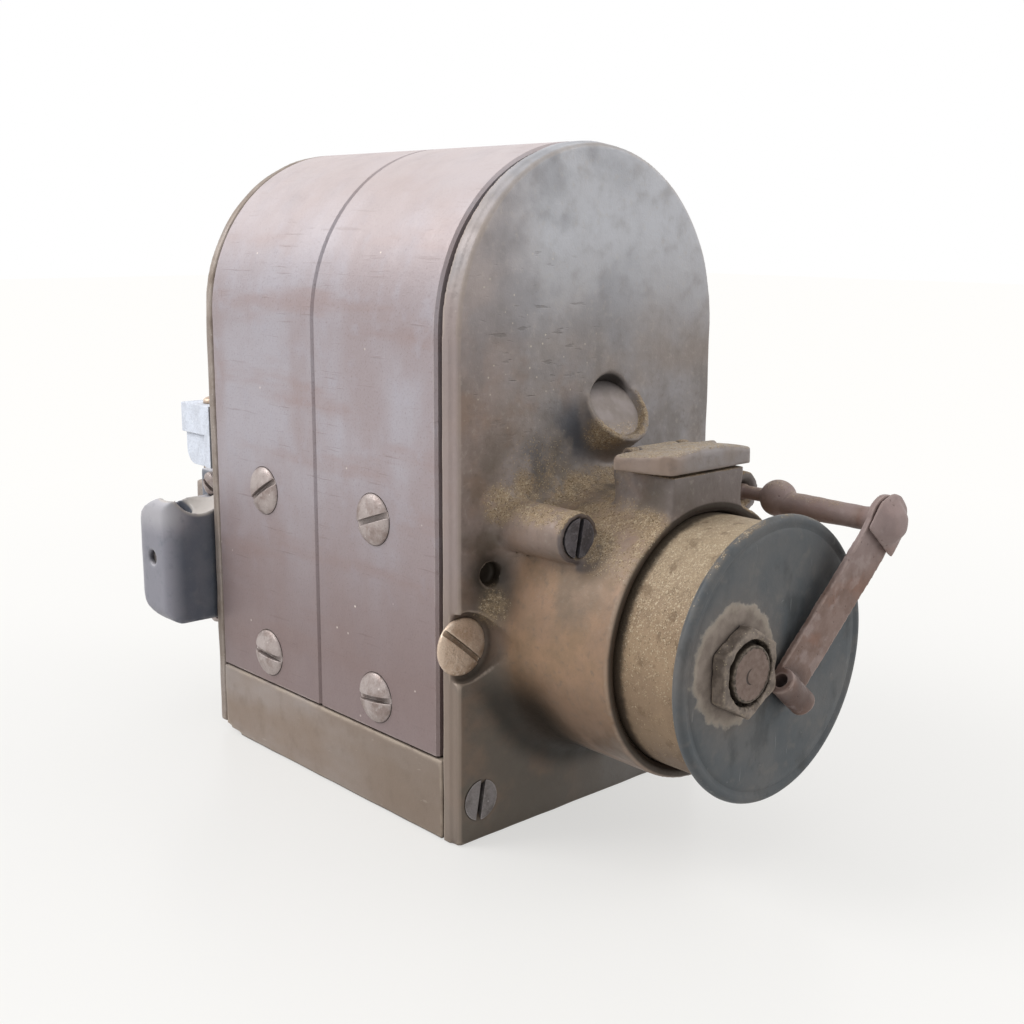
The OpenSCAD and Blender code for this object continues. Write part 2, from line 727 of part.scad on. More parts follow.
module balls(y) {
  for (i = [0:8]) on_shaft(y + race_w / 2) rotate([0, 0, 40 * i]) translate([pitch_r, 0, 0])
    sphere(r = ball_r);
}

module front_outer_race() {
  color("#8b8b8c") outer_race(front_in - race_w);
}

module rear_outer_race() {
  color("#8b8b8c") outer_race(rear_race_y);
}

module front_inner_race() {
  color("#8b8b8c") inner_race(front_in - race_w);
}

module rear_inner_race() {
  color("#8b8b8c") inner_race(rear_race_y);
}

module front_balls() {
  color("#a8a8aa") balls(front_in - race_w);
}

module rear_balls() {
  color("#a8a8aa") balls(rear_race_y);
}

module at_end_screws() {
  for (a = [45:90:315]) on_shaft(rear_end) rotate([0, 0, a]) translate([end_screw_pitch, 0, 0]) children();
}

module end_cover() {
  color("#958777") difference() {
    rod(end_cover_r, rear_end, cover_end);
    rod(shaft_r + 0.5, rear_end - cut, cover_end + cut);
    rod(seal_r + 0.1, rear_end - cut, rear_end + seal_t + 0.2);
    at_end_screws() translate([0, 0, -cut]) cylinder(r = 1.6 + loose, h = 6);
  }
}

module end_cover_screws() {
  color("#8d8478") at_end_screws() translate([0, 0, cover_end - rear_end]) pan_screw(3.1, 2, 1.6, 10, 35);
}

module felt_seal() {
  color("#6b6252") tube(seal_r, shaft_r + 0.3, rear_end + 0.1, rear_end + 0.1 + seal_t);
}

// Carbon brush that earths the armature
module earth_brush() {
  color("#3a3836") to_front(0, front_in + 2.3, shaft_h - race_r - 2.9) cylinder(r = 1.5, h = 5);
}

module earth_spring() {
  color("#8a8478") to_front(0, front_in - 2.8, shaft_h - race_r - 2.9) difference() {
    cylinder(r = 1.45, h = 4.5);
    translate([0, 0, -cut]) cylinder(r = 1, h = 6);
  }
}

module at_pickup_screws() {
  for (z = [pk_z0 - 0.8, pk_z1 + 0.8])
    translate([pk_x1 + 0.3, slip_y, z]) rotate([0, -90, 0]) children();
}

// Outline of the pickup seen from the front
module pickup_face() {
  x0 = -pickup_reach;
  polygon(concat(
    [[pk_x1, pk_z0]],
    arc(x0 + pk_edge, pk_z0 + pk_edge, pk_edge, 265, 180, 6),
    arc(x0 + pk_edge, pk_z1 - pk_edge, pk_edge, 180, 95, 6),
    [[pk_x1, pk_z1 - 1.5]]));
}

// Outline of the pickup seen from above
module pickup_plan() {
  x0 = -pickup_reach;
  polygon(concat(
    [[pk_x1, pk_y0]],
    arc(x0 + pk_edge, pk_y0 + pk_edge, pk_edge, 265, 185, 6),
    arc(x0 + 6, pk_y1 - 6, 6, 175, 95, 7),
    [[pk_x1, pk_y1]]));
}

// Outline of the pickup seen from the left, round at the back
module pickup_side() {
  polygon(concat(
    [[pk_y0 - 1, pk_z1 + 1], [pk_y0 - 1, pk_z0]],
    arc(pk_y1 - pk_low_r, pk_z0 + pk_low_r, pk_low_r, 270, 360, 12),
    arc(pk_y1 - pk_top_r, pk_z1 - pk_top_r, pk_top_r, 0, 90, 12),
    [[pk_y1 - pk_top_r, pk_z1 + 1]]));
}

// Moulded holder of the high tension brush
module pickup_body() {
  color("#4a4d55") difference() {
    union() {
      intersection() {
        translate([0, pk_y1 + 1, 0]) rotate([90, 0, 0])
          linear_extrude(height = pk_y1 - pk_y0 + 2) pickup_face();
        translate([0, 0, pk_z0 - 1]) linear_extrude(height = pk_z1 - pk_z0 + 2) pickup_plan();
        translate([-pickup_reach - 1, 0, 0]) rotate([90, 0, 90])
          linear_extrude(height = pk_x1 + pickup_reach + 1) pickup_side();
      }
      translate([pk_x1 - 2.4, pk_y0 + 1, pk_z0 - 4]) cube([2.4, 14, pk_z1 - pk_z0 + 8]);
      translate([pk_x1 - 1, slip_y, shaft_h]) rotate([0, 90, 0]) cylinder(r = snout_r, h = 9);
    }
    // Socket for the lead with a mouth scooped out to the front
    translate([lead_x, slip_y, lead_end]) cylinder(r = lead_r, h = 40);
    translate([dish_x, dish_y, dish_z]) sphere(r = dish_r);
    // Brush bore and side hole
    translate([lead_x + lead_r + 3, slip_y, shaft_h]) rotate([0, 90, 0])
      cylinder(r = brush_r + loose, h = 30);
    translate([-pickup_reach - 1, slip_y, shaft_h]) rotate([0, 90, 0])
      cylinder(r = 1.9, h = lead_x + pickup_reach - lead_r + 0.4);
    at_pickup_screws() translate([0, 0, -cut]) cylinder(r = 1.6 + loose, h = 10);
    at_pickup_screws() translate([0, 0, 2.7]) cylinder(r = 3.4, h = 10);
  }
}

module pickup_screws() {
  color("#8d8478") at_pickup_screws() translate([0, 0, 2.7]) pan_screw(3.1, 2, 1.6, 10.5, 60);
}

module pickup_brush() {
  color("#3a3836") translate([-track_r - 0.2 - brush_len, slip_y, shaft_h]) rotate([0, 90, 0])
    cylinder(r = brush_r, h = brush_len);
}

module pickup_spring() {
  x0 = lead_x + lead_r + 3.1;
  color("#8a8478") translate([x0, slip_y, shaft_h]) rotate([0, 90, 0]) difference() {
    cylinder(r = brush_r - 0.1, h = -track_r - 0.3 - brush_len - x0);
    translate([0, 0, -cut]) cylinder(r = brush_r - 0.8, h = 30);
  }
}

module lead_screw() {
  color("#7a5a45") translate([side_screw_in - pickup_reach, slip_y, shaft_h]) rotate([0, 90, 0])
    difference() {
      cylinder(r = 1.85, h = lead_x + pickup_reach - lead_r - side_screw_in - 0.8);
      translate([-3, -0.4, -cut]) cube([6, 0.8, 1.4]);
    }
}

// Bracket beside the lead, hollowed out from the right
module lead_bracket() {
  color("#d8d8de") difference() {
    union() {
      translate([bracket_x, rear_y, bracket_z0]) cube([bracket_w, 2.6, bracket_z1 - bracket_z0]);
      translate([bracket_x, rear_y, bracket_z1 - 7.5]) cube([bracket_w, bracket_len, 7.5]);
      translate([bracket_x + 0.8, rear_y, bracket_z0 + 4]) cube([bracket_w - 0.8, bracket_len - 0.8, 6]);
      translate([bracket_x + 0.8, rear_y, bracket_z0]) cube([bracket_w - 0.8, bracket_len - 4.8, 5]);
      translate([bracket_x + 0.8, rear_y + bracket_len - 4.8, bracket_z0 + 4]) rotate([0, 90, 0])
        cylinder(r = 4, h = bracket_w - 0.8);
    }
    translate([bracket_x + 2.8, rear_y + 2.6, bracket_z0 - 1]) cube([bracket_w, bracket_len - 5.6, 10]);
    translate([bracket_screw_x, rear_y - cut, bracket_screw_z]) rotate([-90, 0, 0])
      cylinder(r = 1.5 + loose, h = 6);
    translate([lead_screw_x, rear_y + 6, bracket_z1 - 8.5]) cylinder(r = 1.5 + loose, h = 12);
  }
}

module bracket_screw() {
  color("#b08058") {
    translate([lead_screw_x, rear_y + 6, bracket_z1]) pan_screw(2.8, 1.8, 1.5, 6.6, 50);
    to_rear(bracket_screw_x, rear_y + 2.6, bracket_screw_z) pan_screw(2.6, 1.5, 1.5, 4.8, 20);
  }
}

// Armature
module armature_core() {
  color("#6d6863") difference() {
    rod(core_r, core_y0, core_y1);
    for (s = [-1, 1]) translate([s * (web_h + 15) - 15, core_y0 - 1, shaft_h - slot_h])
      cube([30, core_len + 2, 2 * slot_h]);
  }
}

module winding() {
  color("#7a4a2c") difference() {
    translate([-14.5, core_y0 - 5, shaft_h - slot_h + 0.5]) cube([29, core_len + 10, 2 * slot_h - 1]);
    translate([-web_h - loose, core_y0 - loose, shaft_h - slot_h - 1])
      cube([2 * web_h + 2 * loose, core_len + 2 * loose, 2 * slot_h + 2]);
  }
}

module front_cheek() {
  color("#a58a55") difference() {
    rod(cheek_r, core_y0 - rim_len - cheek_t, core_y0);
    rod(cheek_bore, core_y0 - rim_len, core_y0 + cut);
  }
}

module rear_cheek() {
  color("#a58a55") difference() {
    rod(cheek_r, core_y1, core_y1 + rim_len + cheek_t);
    rod(cheek_bore, core_y1 - cut, core_y1 + rim_len);
  }
}

module condenser() {
  color("#8d7a5a") translate([-12, core_y0 - rim_len, shaft_h - 8]) cube([24, 2.6, 16]);
}

module breaker_shaft() {
  color("#7d7a76") difference() {
    union() {
      rod(9, front_in + 0.3, core_y0 - rim_len - cheek_t);
      rod(shaft_r, front_in - race_w - 0.5, front_in + 1);
      rod(6, plate_y, front_in - race_w);
    }
    rod(2.5 + loose, plate_y - cut, plate_y + 19);
  }
}

module drive_shaft() {
  color("#7d7a76") difference() {
    union() {
      rod(9, core_y1 + rim_len + cheek_t, slip_y - 7.2);
      rod(shaft_r, slip_y - 8, taper_y);
      on_shaft(taper_y) cylinder(r1 = shaft_r, r2 = taper_r, h = taper_len);
      rod(thread_r, thread_y - 0.1, shaft_end);
    }
    translate([-1.5 - loose, taper_y + 3, shaft_h + 3.6]) cube([3 + 2 * loose, 10, 10]);
  }
}

module drive_key() {
  color("#8b8b8c") translate([-1.5, taper_y + 3.1, shaft_h + 3.6]) cube([3, 9.8, 4.6]);
}

module slip_ring() {
  color("#4a3a30") difference() {
    union() {
      rod(slip_hub_r, slip_y - slip_half, slip_y + slip_half);
      rod(slip_rim_r, slip_y - slip_half, slip_y - track_half - 0.1);
      rod(slip_rim_r, slip_y + track_half + 0.1, slip_y + slip_half);
    }
    rod(shaft_r + loose, slip_y - slip_half - cut, slip_y + slip_half + cut);
  }
}

module slip_track() {
  color("#b0904e") tube(track_r, slip_hub_r + loose, slip_y - track_half, slip_y + track_half);
}

// Contact breaker, which turns with the armature
module breaker_plate() {
  color("#a58a55") difference() {
    rod(disc_r, plate_y - plate_t, plate_y);
    rod(2.5 + loose, plate_y - plate_t - cut, plate_y + cut);
    on_shaft(plate_y - plate_t - cut) translate([pivot[0], -pivot[1], 0])
      cylinder(r = 1.5 + loose, h = plate_t + 2 * cut);
  }
}

module breaker_screw() {
  color("#8d8478") {
    on_shaft(plate_y - plate_t - 4) cylinder(r = 4.2, h = 4, $fn = 6);
    rod(2.5, plate_y - plate_t - 0.1, plate_y + 18.5);
  }
}

module fixed_contact() {
  color("#a58a55") to_front(0, plate_y - plate_t, shaft_h) {
    translate([3.4, -16.2, 0]) cube([4.6, 2.6, 6.6]);
    translate([5.7, -13.7, 4]) rotate([-90, 0, 0]) cylinder(r = 1.6, h = 1);
  }
}

module arm_pivot() {
  color("#8b8b8c") to_front(pivot[0], plate_y, shaft_h + pivot[1]) cylinder(r = 1.5, h = plate_t + 7);
}

module breaker_arm() {
  color("#8d7a5a") to_front(0, plate_y - plate_t - 0.4, shaft_h) difference() {
    union() {
      translate([pivot[0], pivot[1], 0]) cylinder(r = 3.4, h = 6);
      translate([pivot[0], pivot[1] - 2, 0]) cube([24, 3.4, 6]);
      translate([5.7, -12.55, 3.6]) rotate([-90, 0, 0]) cylinder(r = 1.6, h = 2);
      intersection() {
        translate([13, -16, 0]) cube([5, 8, 6]);
        cylinder(r = heel_r, h = 6);
      }
    }
    translate([pivot[0], pivot[1], -cut]) cylinder(r = 1.5 + loose, h = 8);
  }
}

base_casting();
front_housing();
rear_housing();
front_magnet();
rear_magnet();
left_pole_shoe();
right_pole_shoe();
magnet_screws();
pole_screws();
rim_screws();
corner_screws();
rear_screws();
boss_screw();
oil_plug();
oil_lid();
lid_pin();
timing_ring();
cam_segments();
breaker_cover();
terminal_nut();
terminal_stud();
terminal_strip();
clip_post();
clip_arm();
clip_nut();
post_pin();
front_outer_race();
rear_outer_race();
front_balls();
rear_balls();
end_cover();
end_cover_screws();
felt_seal();
earth_brush();
earth_spring();
pickup_body();
pickup_screws();
pickup_brush();
pickup_spring();
lead_screw();
lead_bracket();
bracket_screw();
armature_core();
winding();
front_cheek();
rear_cheek();
condenser();
breaker_shaft();
drive_shaft();
drive_key();
slip_ring();
slip_track();
front_inner_race();
rear_inner_race();
breaker_plate();
breaker_screw();
fixed_contact();
arm_pivot();
breaker_arm();
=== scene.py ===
"""Looks of an ignition magneto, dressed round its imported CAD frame. Blender units are metres."""

import json
import math

import bmesh
import bpy
import numpy as np
from mathutils import Matrix, Vector, noise


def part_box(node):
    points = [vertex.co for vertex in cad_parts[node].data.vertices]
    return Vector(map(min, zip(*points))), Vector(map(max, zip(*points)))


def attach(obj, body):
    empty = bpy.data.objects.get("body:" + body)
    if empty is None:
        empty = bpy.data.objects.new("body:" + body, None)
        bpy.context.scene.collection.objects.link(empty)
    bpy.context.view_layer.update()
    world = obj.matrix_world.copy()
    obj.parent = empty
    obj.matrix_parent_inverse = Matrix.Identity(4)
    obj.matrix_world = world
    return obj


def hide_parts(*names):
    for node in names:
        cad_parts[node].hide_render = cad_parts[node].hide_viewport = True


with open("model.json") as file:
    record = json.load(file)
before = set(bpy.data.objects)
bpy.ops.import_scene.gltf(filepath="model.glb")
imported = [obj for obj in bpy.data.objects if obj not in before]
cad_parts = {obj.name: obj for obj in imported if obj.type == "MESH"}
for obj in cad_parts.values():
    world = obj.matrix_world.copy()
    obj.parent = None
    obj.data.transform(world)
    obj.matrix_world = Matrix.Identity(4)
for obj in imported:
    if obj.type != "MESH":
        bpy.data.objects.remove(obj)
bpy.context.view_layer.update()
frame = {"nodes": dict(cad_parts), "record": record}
nodes, record = frame["nodes"], frame["record"]
scene = bpy.context.scene
body_of = {n: body for body, names in record["behaviour"]["bodies"].items() for n in names}
slot_of = {part["node"]: part["material_slot"] for part in record["subparts"]}

# Main places of the CAD model, in millimetres
MM = 0.001
SHAFT_Z = 45.0
FRONT_Y = -48.0
NECK_Y, NECK_R = -80.8, 29.2
COVER_Y = -98.9
TERMINAL = (-12.6, COVER_Y, 46.0)
DISH = (-41.2, 53.0, 64.8)
EYE = (0.7, -102.0, 39.4)
POST = (26.55, -60.0, 70.9)
PIT = (-30.0, FRONT_Y, 57.8)
CUP, CUP_TOP = (4.6, -50.5, 90.2), (4.6, -46.5, 96.0)
BOSS = (-24.5, -68.2, 68.0)
RIM_SCREW = (36.4, 43.1)
WELL_Y, WELL_HALF = -62.0, 15.0
WELL_Z = (66.0, 78.5)
HINGE_HALF, HINGE_Z = 10.0, 78.0
LID_X, LID_Y, LID_Z = (-13.2, 12.8), -81.5, 80.6
LID_THICK, LID_CORNER, LID_REAR_Y = 5.0, 2.2, -69.5
THREAD_Y, THREAD_END, THREAD_R, THREAD_PITCH = 97.7, 110.7, 4.0, 1.25

# Places of dust, dirt and painted shade, in millimetres; the pairs are an inner and an outer
# distance
HALO = (-13.8, COVER_Y, 47.3)
DRIFTS = (
    ((-28, -50, 72.5), (2, 6)), ((-21, -51, 75), (2.5, 6.5)), ((-14, -53, 77.5), (2.5, 7)),
    ((-7, -58, 79), (2, 7)), ((-9, -68, 67), (3, 10)), ((-29, FRONT_Y, 51), (1, 6)),
    ((-2, -53, 84), (2, 6)),
)
THIN_DRIFT = ((-17, -56, 75), (6, 18))
# Pits beside the neck, darkened with painted shade and some grease
HOLLOWS = ((PIT, (2, 8)), ((-29, FRONT_Y, 53), (2, 9)))
SMUDGES = (((-6, FRONT_Y, 85), (2, 11)), ((-17, FRONT_Y, 80), (1, 8)))
GRIME = ((-14, -57, 62), (12, 40))
SCRAPED = ((-20, FRONT_Y, 106), (8, 30))


# Meshes

STEP = 0.6
EASE_PASSES = 24
RIDGE_PASSES = 12
FILL_ROUND = 8


def welded(node):
    """Mesh of a CAD node with its split corners joined."""
    source = nodes[node].data
    corners = np.empty(len(source.loops), np.int64)
    source.loops.foreach_get("vertex_index", corners)
    spots, where = np.unique(np.round(places(source), 7), axis=0, return_inverse=True)
    faces = where.reshape(-1)[corners].reshape(-1, 3)
    faces = faces[(faces != np.roll(faces, 1, axis=1)).all(axis=1)]
    mesh = bpy.data.meshes.new(node)
    mesh.from_pydata(spots.tolist(), [], faces.tolist())
    return mesh


def evaluated(mesh, *modifiers):
    """The mesh after modifiers, each given as its type and settings."""
    trial = bpy.data.objects.new("trial", mesh)
    scene.collection.objects.link(trial)
    for kind, settings in modifiers:
        modifier = trial.modifiers.new(kind, kind)
        for key, value in settings.items():
            setattr(modifier, key, value)
    graph = bpy.context.evaluated_depsgraph_get()
    result = bpy.data.meshes.new_from_object(trial.evaluated_get(graph))
    bpy.data.objects.remove(trial)
    return result


def places(mesh):
    """Table of the mesh's vertices."""
    spots = np.empty(len(mesh.vertices) * 3)
    mesh.vertices.foreach_get("co", spots)
    return spots.reshape(-1, 3)


def put(mesh, spots):
    """Moves the vertices and returns their new normals."""
    mesh.vertices.foreach_set("co", spots.reshape(-1))
    mesh.update()
    normals = np.empty(len(mesh.vertices) * 3)
    mesh.vertices.foreach_get("normal", normals)
    return normals.reshape(-1, 3)


def neighbours(mesh):
    """Row of neighbours for each vertex, filled up with the vertex itself."""
    ends = np.empty(len(mesh.edges) * 2, np.int64)
    mesh.edges.foreach_get("vertices", ends)
    ends = ends.reshape(-1, 2)
    both = np.concatenate([ends, ends[:, ::-1]])
    both = both[np.argsort(both[:, 0], kind="stable")]
    counts = np.bincount(both[:, 0], minlength=len(mesh.vertices))
    table = np.repeat(np.arange(len(counts))[:, None], counts.max(), 1)
    column = np.arange(len(both)) - np.repeat(np.cumsum(counts) - counts, counts)
    table[both[:, 0], column] = both[:, 1]
    return table


def soften(node, voxel, passes, fill=0, where=None, wave=0.0, wave_size=7.0,
           reshape=None, ease=None):
    """Cast or worn copy of a node: rounded edges, filled inner corners and an uneven skin.

    Lengths are in millimetres. The ridge attribute tells outer edges from inner corners.
    """
    mesh = evaluated(welded(node), ("REMESH", dict(mode="VOXEL", voxel_size=voxel * MM)))
    mesh.shade_smooth()
    table, spots = neighbours(mesh), places(mesh)
    if reshape:
        spots = reshape(spots)
    for _ in range(passes):
        spots += STEP * (spots[table].mean(axis=1) - spots)
    if ease:
        soft = STEP * ease(spots)[:, None]
        for _ in range(EASE_PASSES):
            spots += soft * (spots[table].mean(axis=1) - spots)
    normals = put(mesh, spots)
    share = where(spots) if where else 1.0
    for i in range(fill):
        lift = ((spots[table].mean(axis=1) - spots) * normals).sum(axis=1)
        spots += normals * (np.clip(lift, 0, None) * share)[:, None]
        if i % FILL_ROUND == FILL_ROUND - 1:
            normals = put(mesh, spots)
    if wave:
        scale = 1 / (wave_size * MM)
        lumps = np.array([noise.noise(Vector(p) * scale) for p in spots])
        spots += normals * (lumps * wave * MM)[:, None]
    spots = np.clip(spots, *(np.array(corner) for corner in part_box(node)))
    normals = put(mesh, spots)
    smooth = spots
    for _ in range(RIDGE_PASSES):
        smooth = smooth[table].mean(axis=1)
    ridge = mesh.attributes.new("ridge", "FLOAT", "POINT")
    ridge.data.foreach_set("value", ((spots - smooth) * normals).sum(axis=1) / (voxel * MM))
    return mesh


def crisp(node, width, mesh=None):
    """Machined copy of a node, with small bevels of a width in millimetres on its edges."""
    mesh = mesh or welded(node)
    plain = bmesh.new()
    plain.from_mesh(mesh)
    bmesh.ops.dissolve_limit(
        plain, angle_limit=math.radians(1), verts=plain.verts, edges=plain.edges)
    plain.to_mesh(mesh)
    plain.free()
    mesh.shade_smooth()
    bevel = dict(
        width=width * MM, segments=2, limit_method="ANGLE", angle_limit=math.radians(32))
    return evaluated(mesh, ("BEVEL", bevel), ("WEIGHTED_NORMAL", dict(keep_sharp=True)))


def piece(name, node, mesh, material):
    """Shows a mesh in the place of a CAD node."""
    shown = bpy.data.objects.new(name, mesh)
    scene.collection.objects.link(shown)
    mesh.materials.clear()
    mesh.materials.append(material)
    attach(shown, body_of[node])
    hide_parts(node)


# Shader nodes

MIX_SHARE, MIX_A, MIX_B, MIX_RESULT = 0, 6, 7, 2
GRIT_DARK, GRIT_MID, GRIT_PALE = (92, 75, 56), (160, 139, 112), (204, 189, 164)
GRIT_SIZE, GRIT_GAP = 0.26, 0.24


def srgb(red, green, blue):
    """Linear colour of the eight bit values that a picture shows."""
    part = [c / 255 for c in (red, green, blue)]
    return (*(c / 12.92 if c <= 0.04045 else ((c + 0.055) / 1.055) ** 2.4 for c in part), 1.0)


def shaded(colour, share):
    """Darker or lighter eight bit colour."""
    return tuple(min(255, share * c) for c in colour)


class Tree:
    """Short ways to add and join the nodes of a node tree."""

    def __init__(self, tree):
        self.tree = tree

    def add(self, kind, *values, **settings):
        """New node with its settings and its first inputs filled in order."""
        node = self.tree.nodes.new(kind)
        for key, value in settings.items():
            setattr(node, key, value)
        for socket, value in zip(node.inputs, values):
            self.feed(socket, value)
        return node

    def feed(self, socket, value):
        """Joins a socket to another one, or sets it."""
        if isinstance(value, bpy.types.NodeSocket):
            self.tree.links.new(value, socket)
        elif value is not None:
            socket.default_value = value

    def math(self, operation, *values, clamp=False):
        return self.add("ShaderNodeMath", *values, operation=operation, use_clamp=clamp).outputs[0]

    def vector(self, operation, a, b=None, scale=None):
        node = self.add("ShaderNodeVectorMath", a, b, operation=operation)
        if scale is not None:
            node.inputs["Scale"].default_value = scale
        single = operation in ("DOT_PRODUCT", "DISTANCE", "LENGTH")
        return node.outputs["Value" if single else "Vector"]

    def ramp(self, value, low, high, start, end):
        """Smooth change from start to end while a value goes from low to high."""
        node = self.add(
            "ShaderNodeMapRange", value, low, high, start, end, interpolation_type="SMOOTHSTEP")
        return node.outputs[0]

    def background_rays(self):
        """1 for rays that show the background: the camera's and those from metal and glass."""
        path = self.add("ShaderNodeLightPath").outputs
        either = self.math("MAXIMUM", path["Is Camera Ray"], path["Is Glossy Ray"])
        return self.math("MAXIMUM", either, path["Is Transmission Ray"])

    def blend(self, share, a, b, output):
        """Mixes two shaders into an output node."""
        mixed = self.add("ShaderNodeMixShader", share, a.outputs[0], b.outputs[0])
        self.feed(self.tree.nodes[output].inputs["Surface"], mixed.outputs[0])


class Paint(Tree):
    """Builds one material from layers, in the coordinates of the piece and in millimetres."""

    def __init__(self, name, metallic=0.0):
        self.material = bpy.data.materials.new(name)
        self.material.use_nodes = True
        super().__init__(self.material.node_tree)
        self.shader = self.tree.nodes["Principled BSDF"]
        self.shader.inputs["Metallic"].default_value = metallic
        self.shader.inputs["Specular IOR Level"].default_value = 0.25
        coordinates = self.add("ShaderNodeTexCoord")
        self.place = self.vector("SCALE", coordinates.outputs["Object"], scale=1 / MM)
        self.normal = coordinates.outputs["Normal"]
        self.x, self.y, self.z = self.add("ShaderNodeSeparateXYZ", self.place).outputs
        self.colour = None

    # Patterns

    def noise(self, size, detail=4.0, stretch=None, shift=0.0):
        """Cloudy pattern with features of a size."""
        place = self.vector("MULTIPLY", self.place, stretch) if stretch else self.place
        if shift:
            place = self.vector("ADD", place, (shift, shift * 1.7, shift * 0.6))
        node = self.add("ShaderNodeTexNoise", place)
        for name, value in (("Scale", 1 / size), ("Detail", detail), ("Roughness", 0.55)):
            node.inputs[name].default_value = value
        return node.outputs[0]

    def cells(self, size):
        """Scattered points, one in each cell of a size."""
        node = self.add("ShaderNodeTexVoronoi", self.place)
        node.inputs["Scale"].default_value = 1 / size
        return node.outputs

    def dots(self, size):
        """Distance to the nearest of scattered points, in cells of a size."""
        return self.cells(size)[0]

    def grains(self, size):
        """A chance number for each grain of a size."""
        return self.add("ShaderNodeSeparateXYZ", self.cells(size)["Color"]).outputs[0]

    def off_line(self, point):
        """Distance from the line through a point along the shaft."""
        away = self.vector("SUBTRACT", self.place, point)
        return self.vector("LENGTH", self.vector("MULTIPLY", away, (1, 0, 1)))

    def ragged(self, value, size, depth, shift):
        """A distance made uneven by noise of a size and a depth."""
        return self.math("ADD", value, self.times(self.noise(size, 4, shift=shift), depth))

    # Masks between 0 and 1

    def rise(self, value, low, high, top=1.0):
        """Smooth step up to top from low to high, or down where low is above high."""
        if low < high:
            return self.ramp(value, low, high, 0.0, top)
        return self.ramp(value, high, low, top, 0.0)

    def times(self, *values):
        result = values[0]
        for value in values[1:]:
            result = self.math("MULTIPLY", result, value)
        return result

    def most(self, *values):
        result = values[0]
        for value in values[1:]:
            result = self.math("MAXIMUM", result, value)
        return result

    def near(self, point, inner, outer):
        """1 inside the inner distance from a point, 0 outside the outer one."""
        return self.rise(self.vector("DISTANCE", self.place, point), outer, inner)

    def spots(self, table):
        """The most of several round spots, each a point and its two distances."""
        return self.most(*(self.near(point, *distances) for point, distances in table))

    def edges(self, radius=0.4):
        """High on the edges of a crisp piece."""
        bevel = self.add("ShaderNodeBevel", radius * MM, samples=4)
        plain = self.add("ShaderNodeNewGeometry").outputs["Normal"]
        return self.rise(self.vector("DOT_PRODUCT", bevel.outputs[0], plain), 0.985, 0.85)

    def ridge(self, low, high):
        """High on outer edges of a softened piece, or in its inner corners for values below 0."""
        ridge = self.add("ShaderNodeAttribute", attribute_name="ridge").outputs["Fac"]
        return self.rise(ridge, low, high)

    def shut(self, distance, low=0.75, high=0.35):
        """High in corners and crevices within a distance."""
        node = self.add("ShaderNodeAmbientOcclusion", samples=6)
        node.inputs["Distance"].default_value = distance * MM
        return self.rise(node.outputs["AO"], low, high)

    def upward(self, low=0.2, high=0.8):
        """High on faces that look up when the piece is at rest."""
        return self.rise(self.add("ShaderNodeSeparateXYZ", self.normal).outputs[2], low, high)

    # Colour, gloss and relief

    def mix(self, share, a, b):
        """Colour between two, each a socket or three eight bit values."""
        node = self.add("ShaderNodeMix", data_type="RGBA")
        self.feed(node.inputs[MIX_SHARE], share)
        for index, colour in ((MIX_A, a), (MIX_B, b)):
            self.feed(node.inputs[index], srgb(*colour) if isinstance(colour, tuple) else colour)
        return node.outputs[MIX_RESULT]

    def coat(self, share, a, b):
        """First coat: a pattern of two colours."""
        self.colour = self.mix(share, a, b)

    def layer(self, colour, strength, *masks):
        """Lays a colour over the others where all masks are high."""
        self.colour = self.mix(self.times(*masks, strength), self.colour, colour)

    def dust(self, cover, film=0.5):
        """Lays sandy dust, a thin film and loose grains, on a share of the surface."""
        clumps = self.times(cover, self.rise(self.noise(1.6, 4, shift=12), 0.15, 0.6))
        self.layer(GRIT_MID, film, clumps)
        grains = self.grains(GRIT_SIZE)
        shade = self.mix(self.rise(grains, 0.0, 0.35), GRIT_DARK, GRIT_MID)
        shade = self.mix(self.rise(grains, 0.55, 1.0), shade, GRIT_PALE)
        bare = self.math("SUBTRACT", self.times(clumps, 0.95), self.grains(GRIT_GAP))
        loose = self.rise(bare, 0.0, 0.12)
        self.layer(shade, 0.6, loose)
        return self.most(self.times(clumps, 0.5), loose)

    def gloss(self, pattern, swing, level, dull=None, more=0.0):
        """Roughness that swings about a level with a pattern, and is more where it is dull."""
        rough = self.math("ADD", self.times(self.math("SUBTRACT", pattern, 0.5), swing), level)
        extra = 0.0 if dull is None else self.times(dull, more)
        return self.math("ADD", rough, extra, clamp=True)

    def finish(self, rough, bumps):
        """Feeds the shader; each bump is a height and its depth."""
        normal = None
        for height, depth in bumps:
            bump = self.add("ShaderNodeBump")
            bump.inputs["Distance"].default_value = depth * MM
            self.feed(bump.inputs["Height"], height)
            self.feed(bump.inputs["Normal"], normal)
            normal = bump.outputs[0]
        for name, value in (("Base Color", self.colour), ("Roughness", rough), ("Normal", normal)):
            self.feed(self.shader.inputs[name], value)
        return self.material


# Materials, with colours in eight bit values, strengths from 0 to 1 and places in millimetres

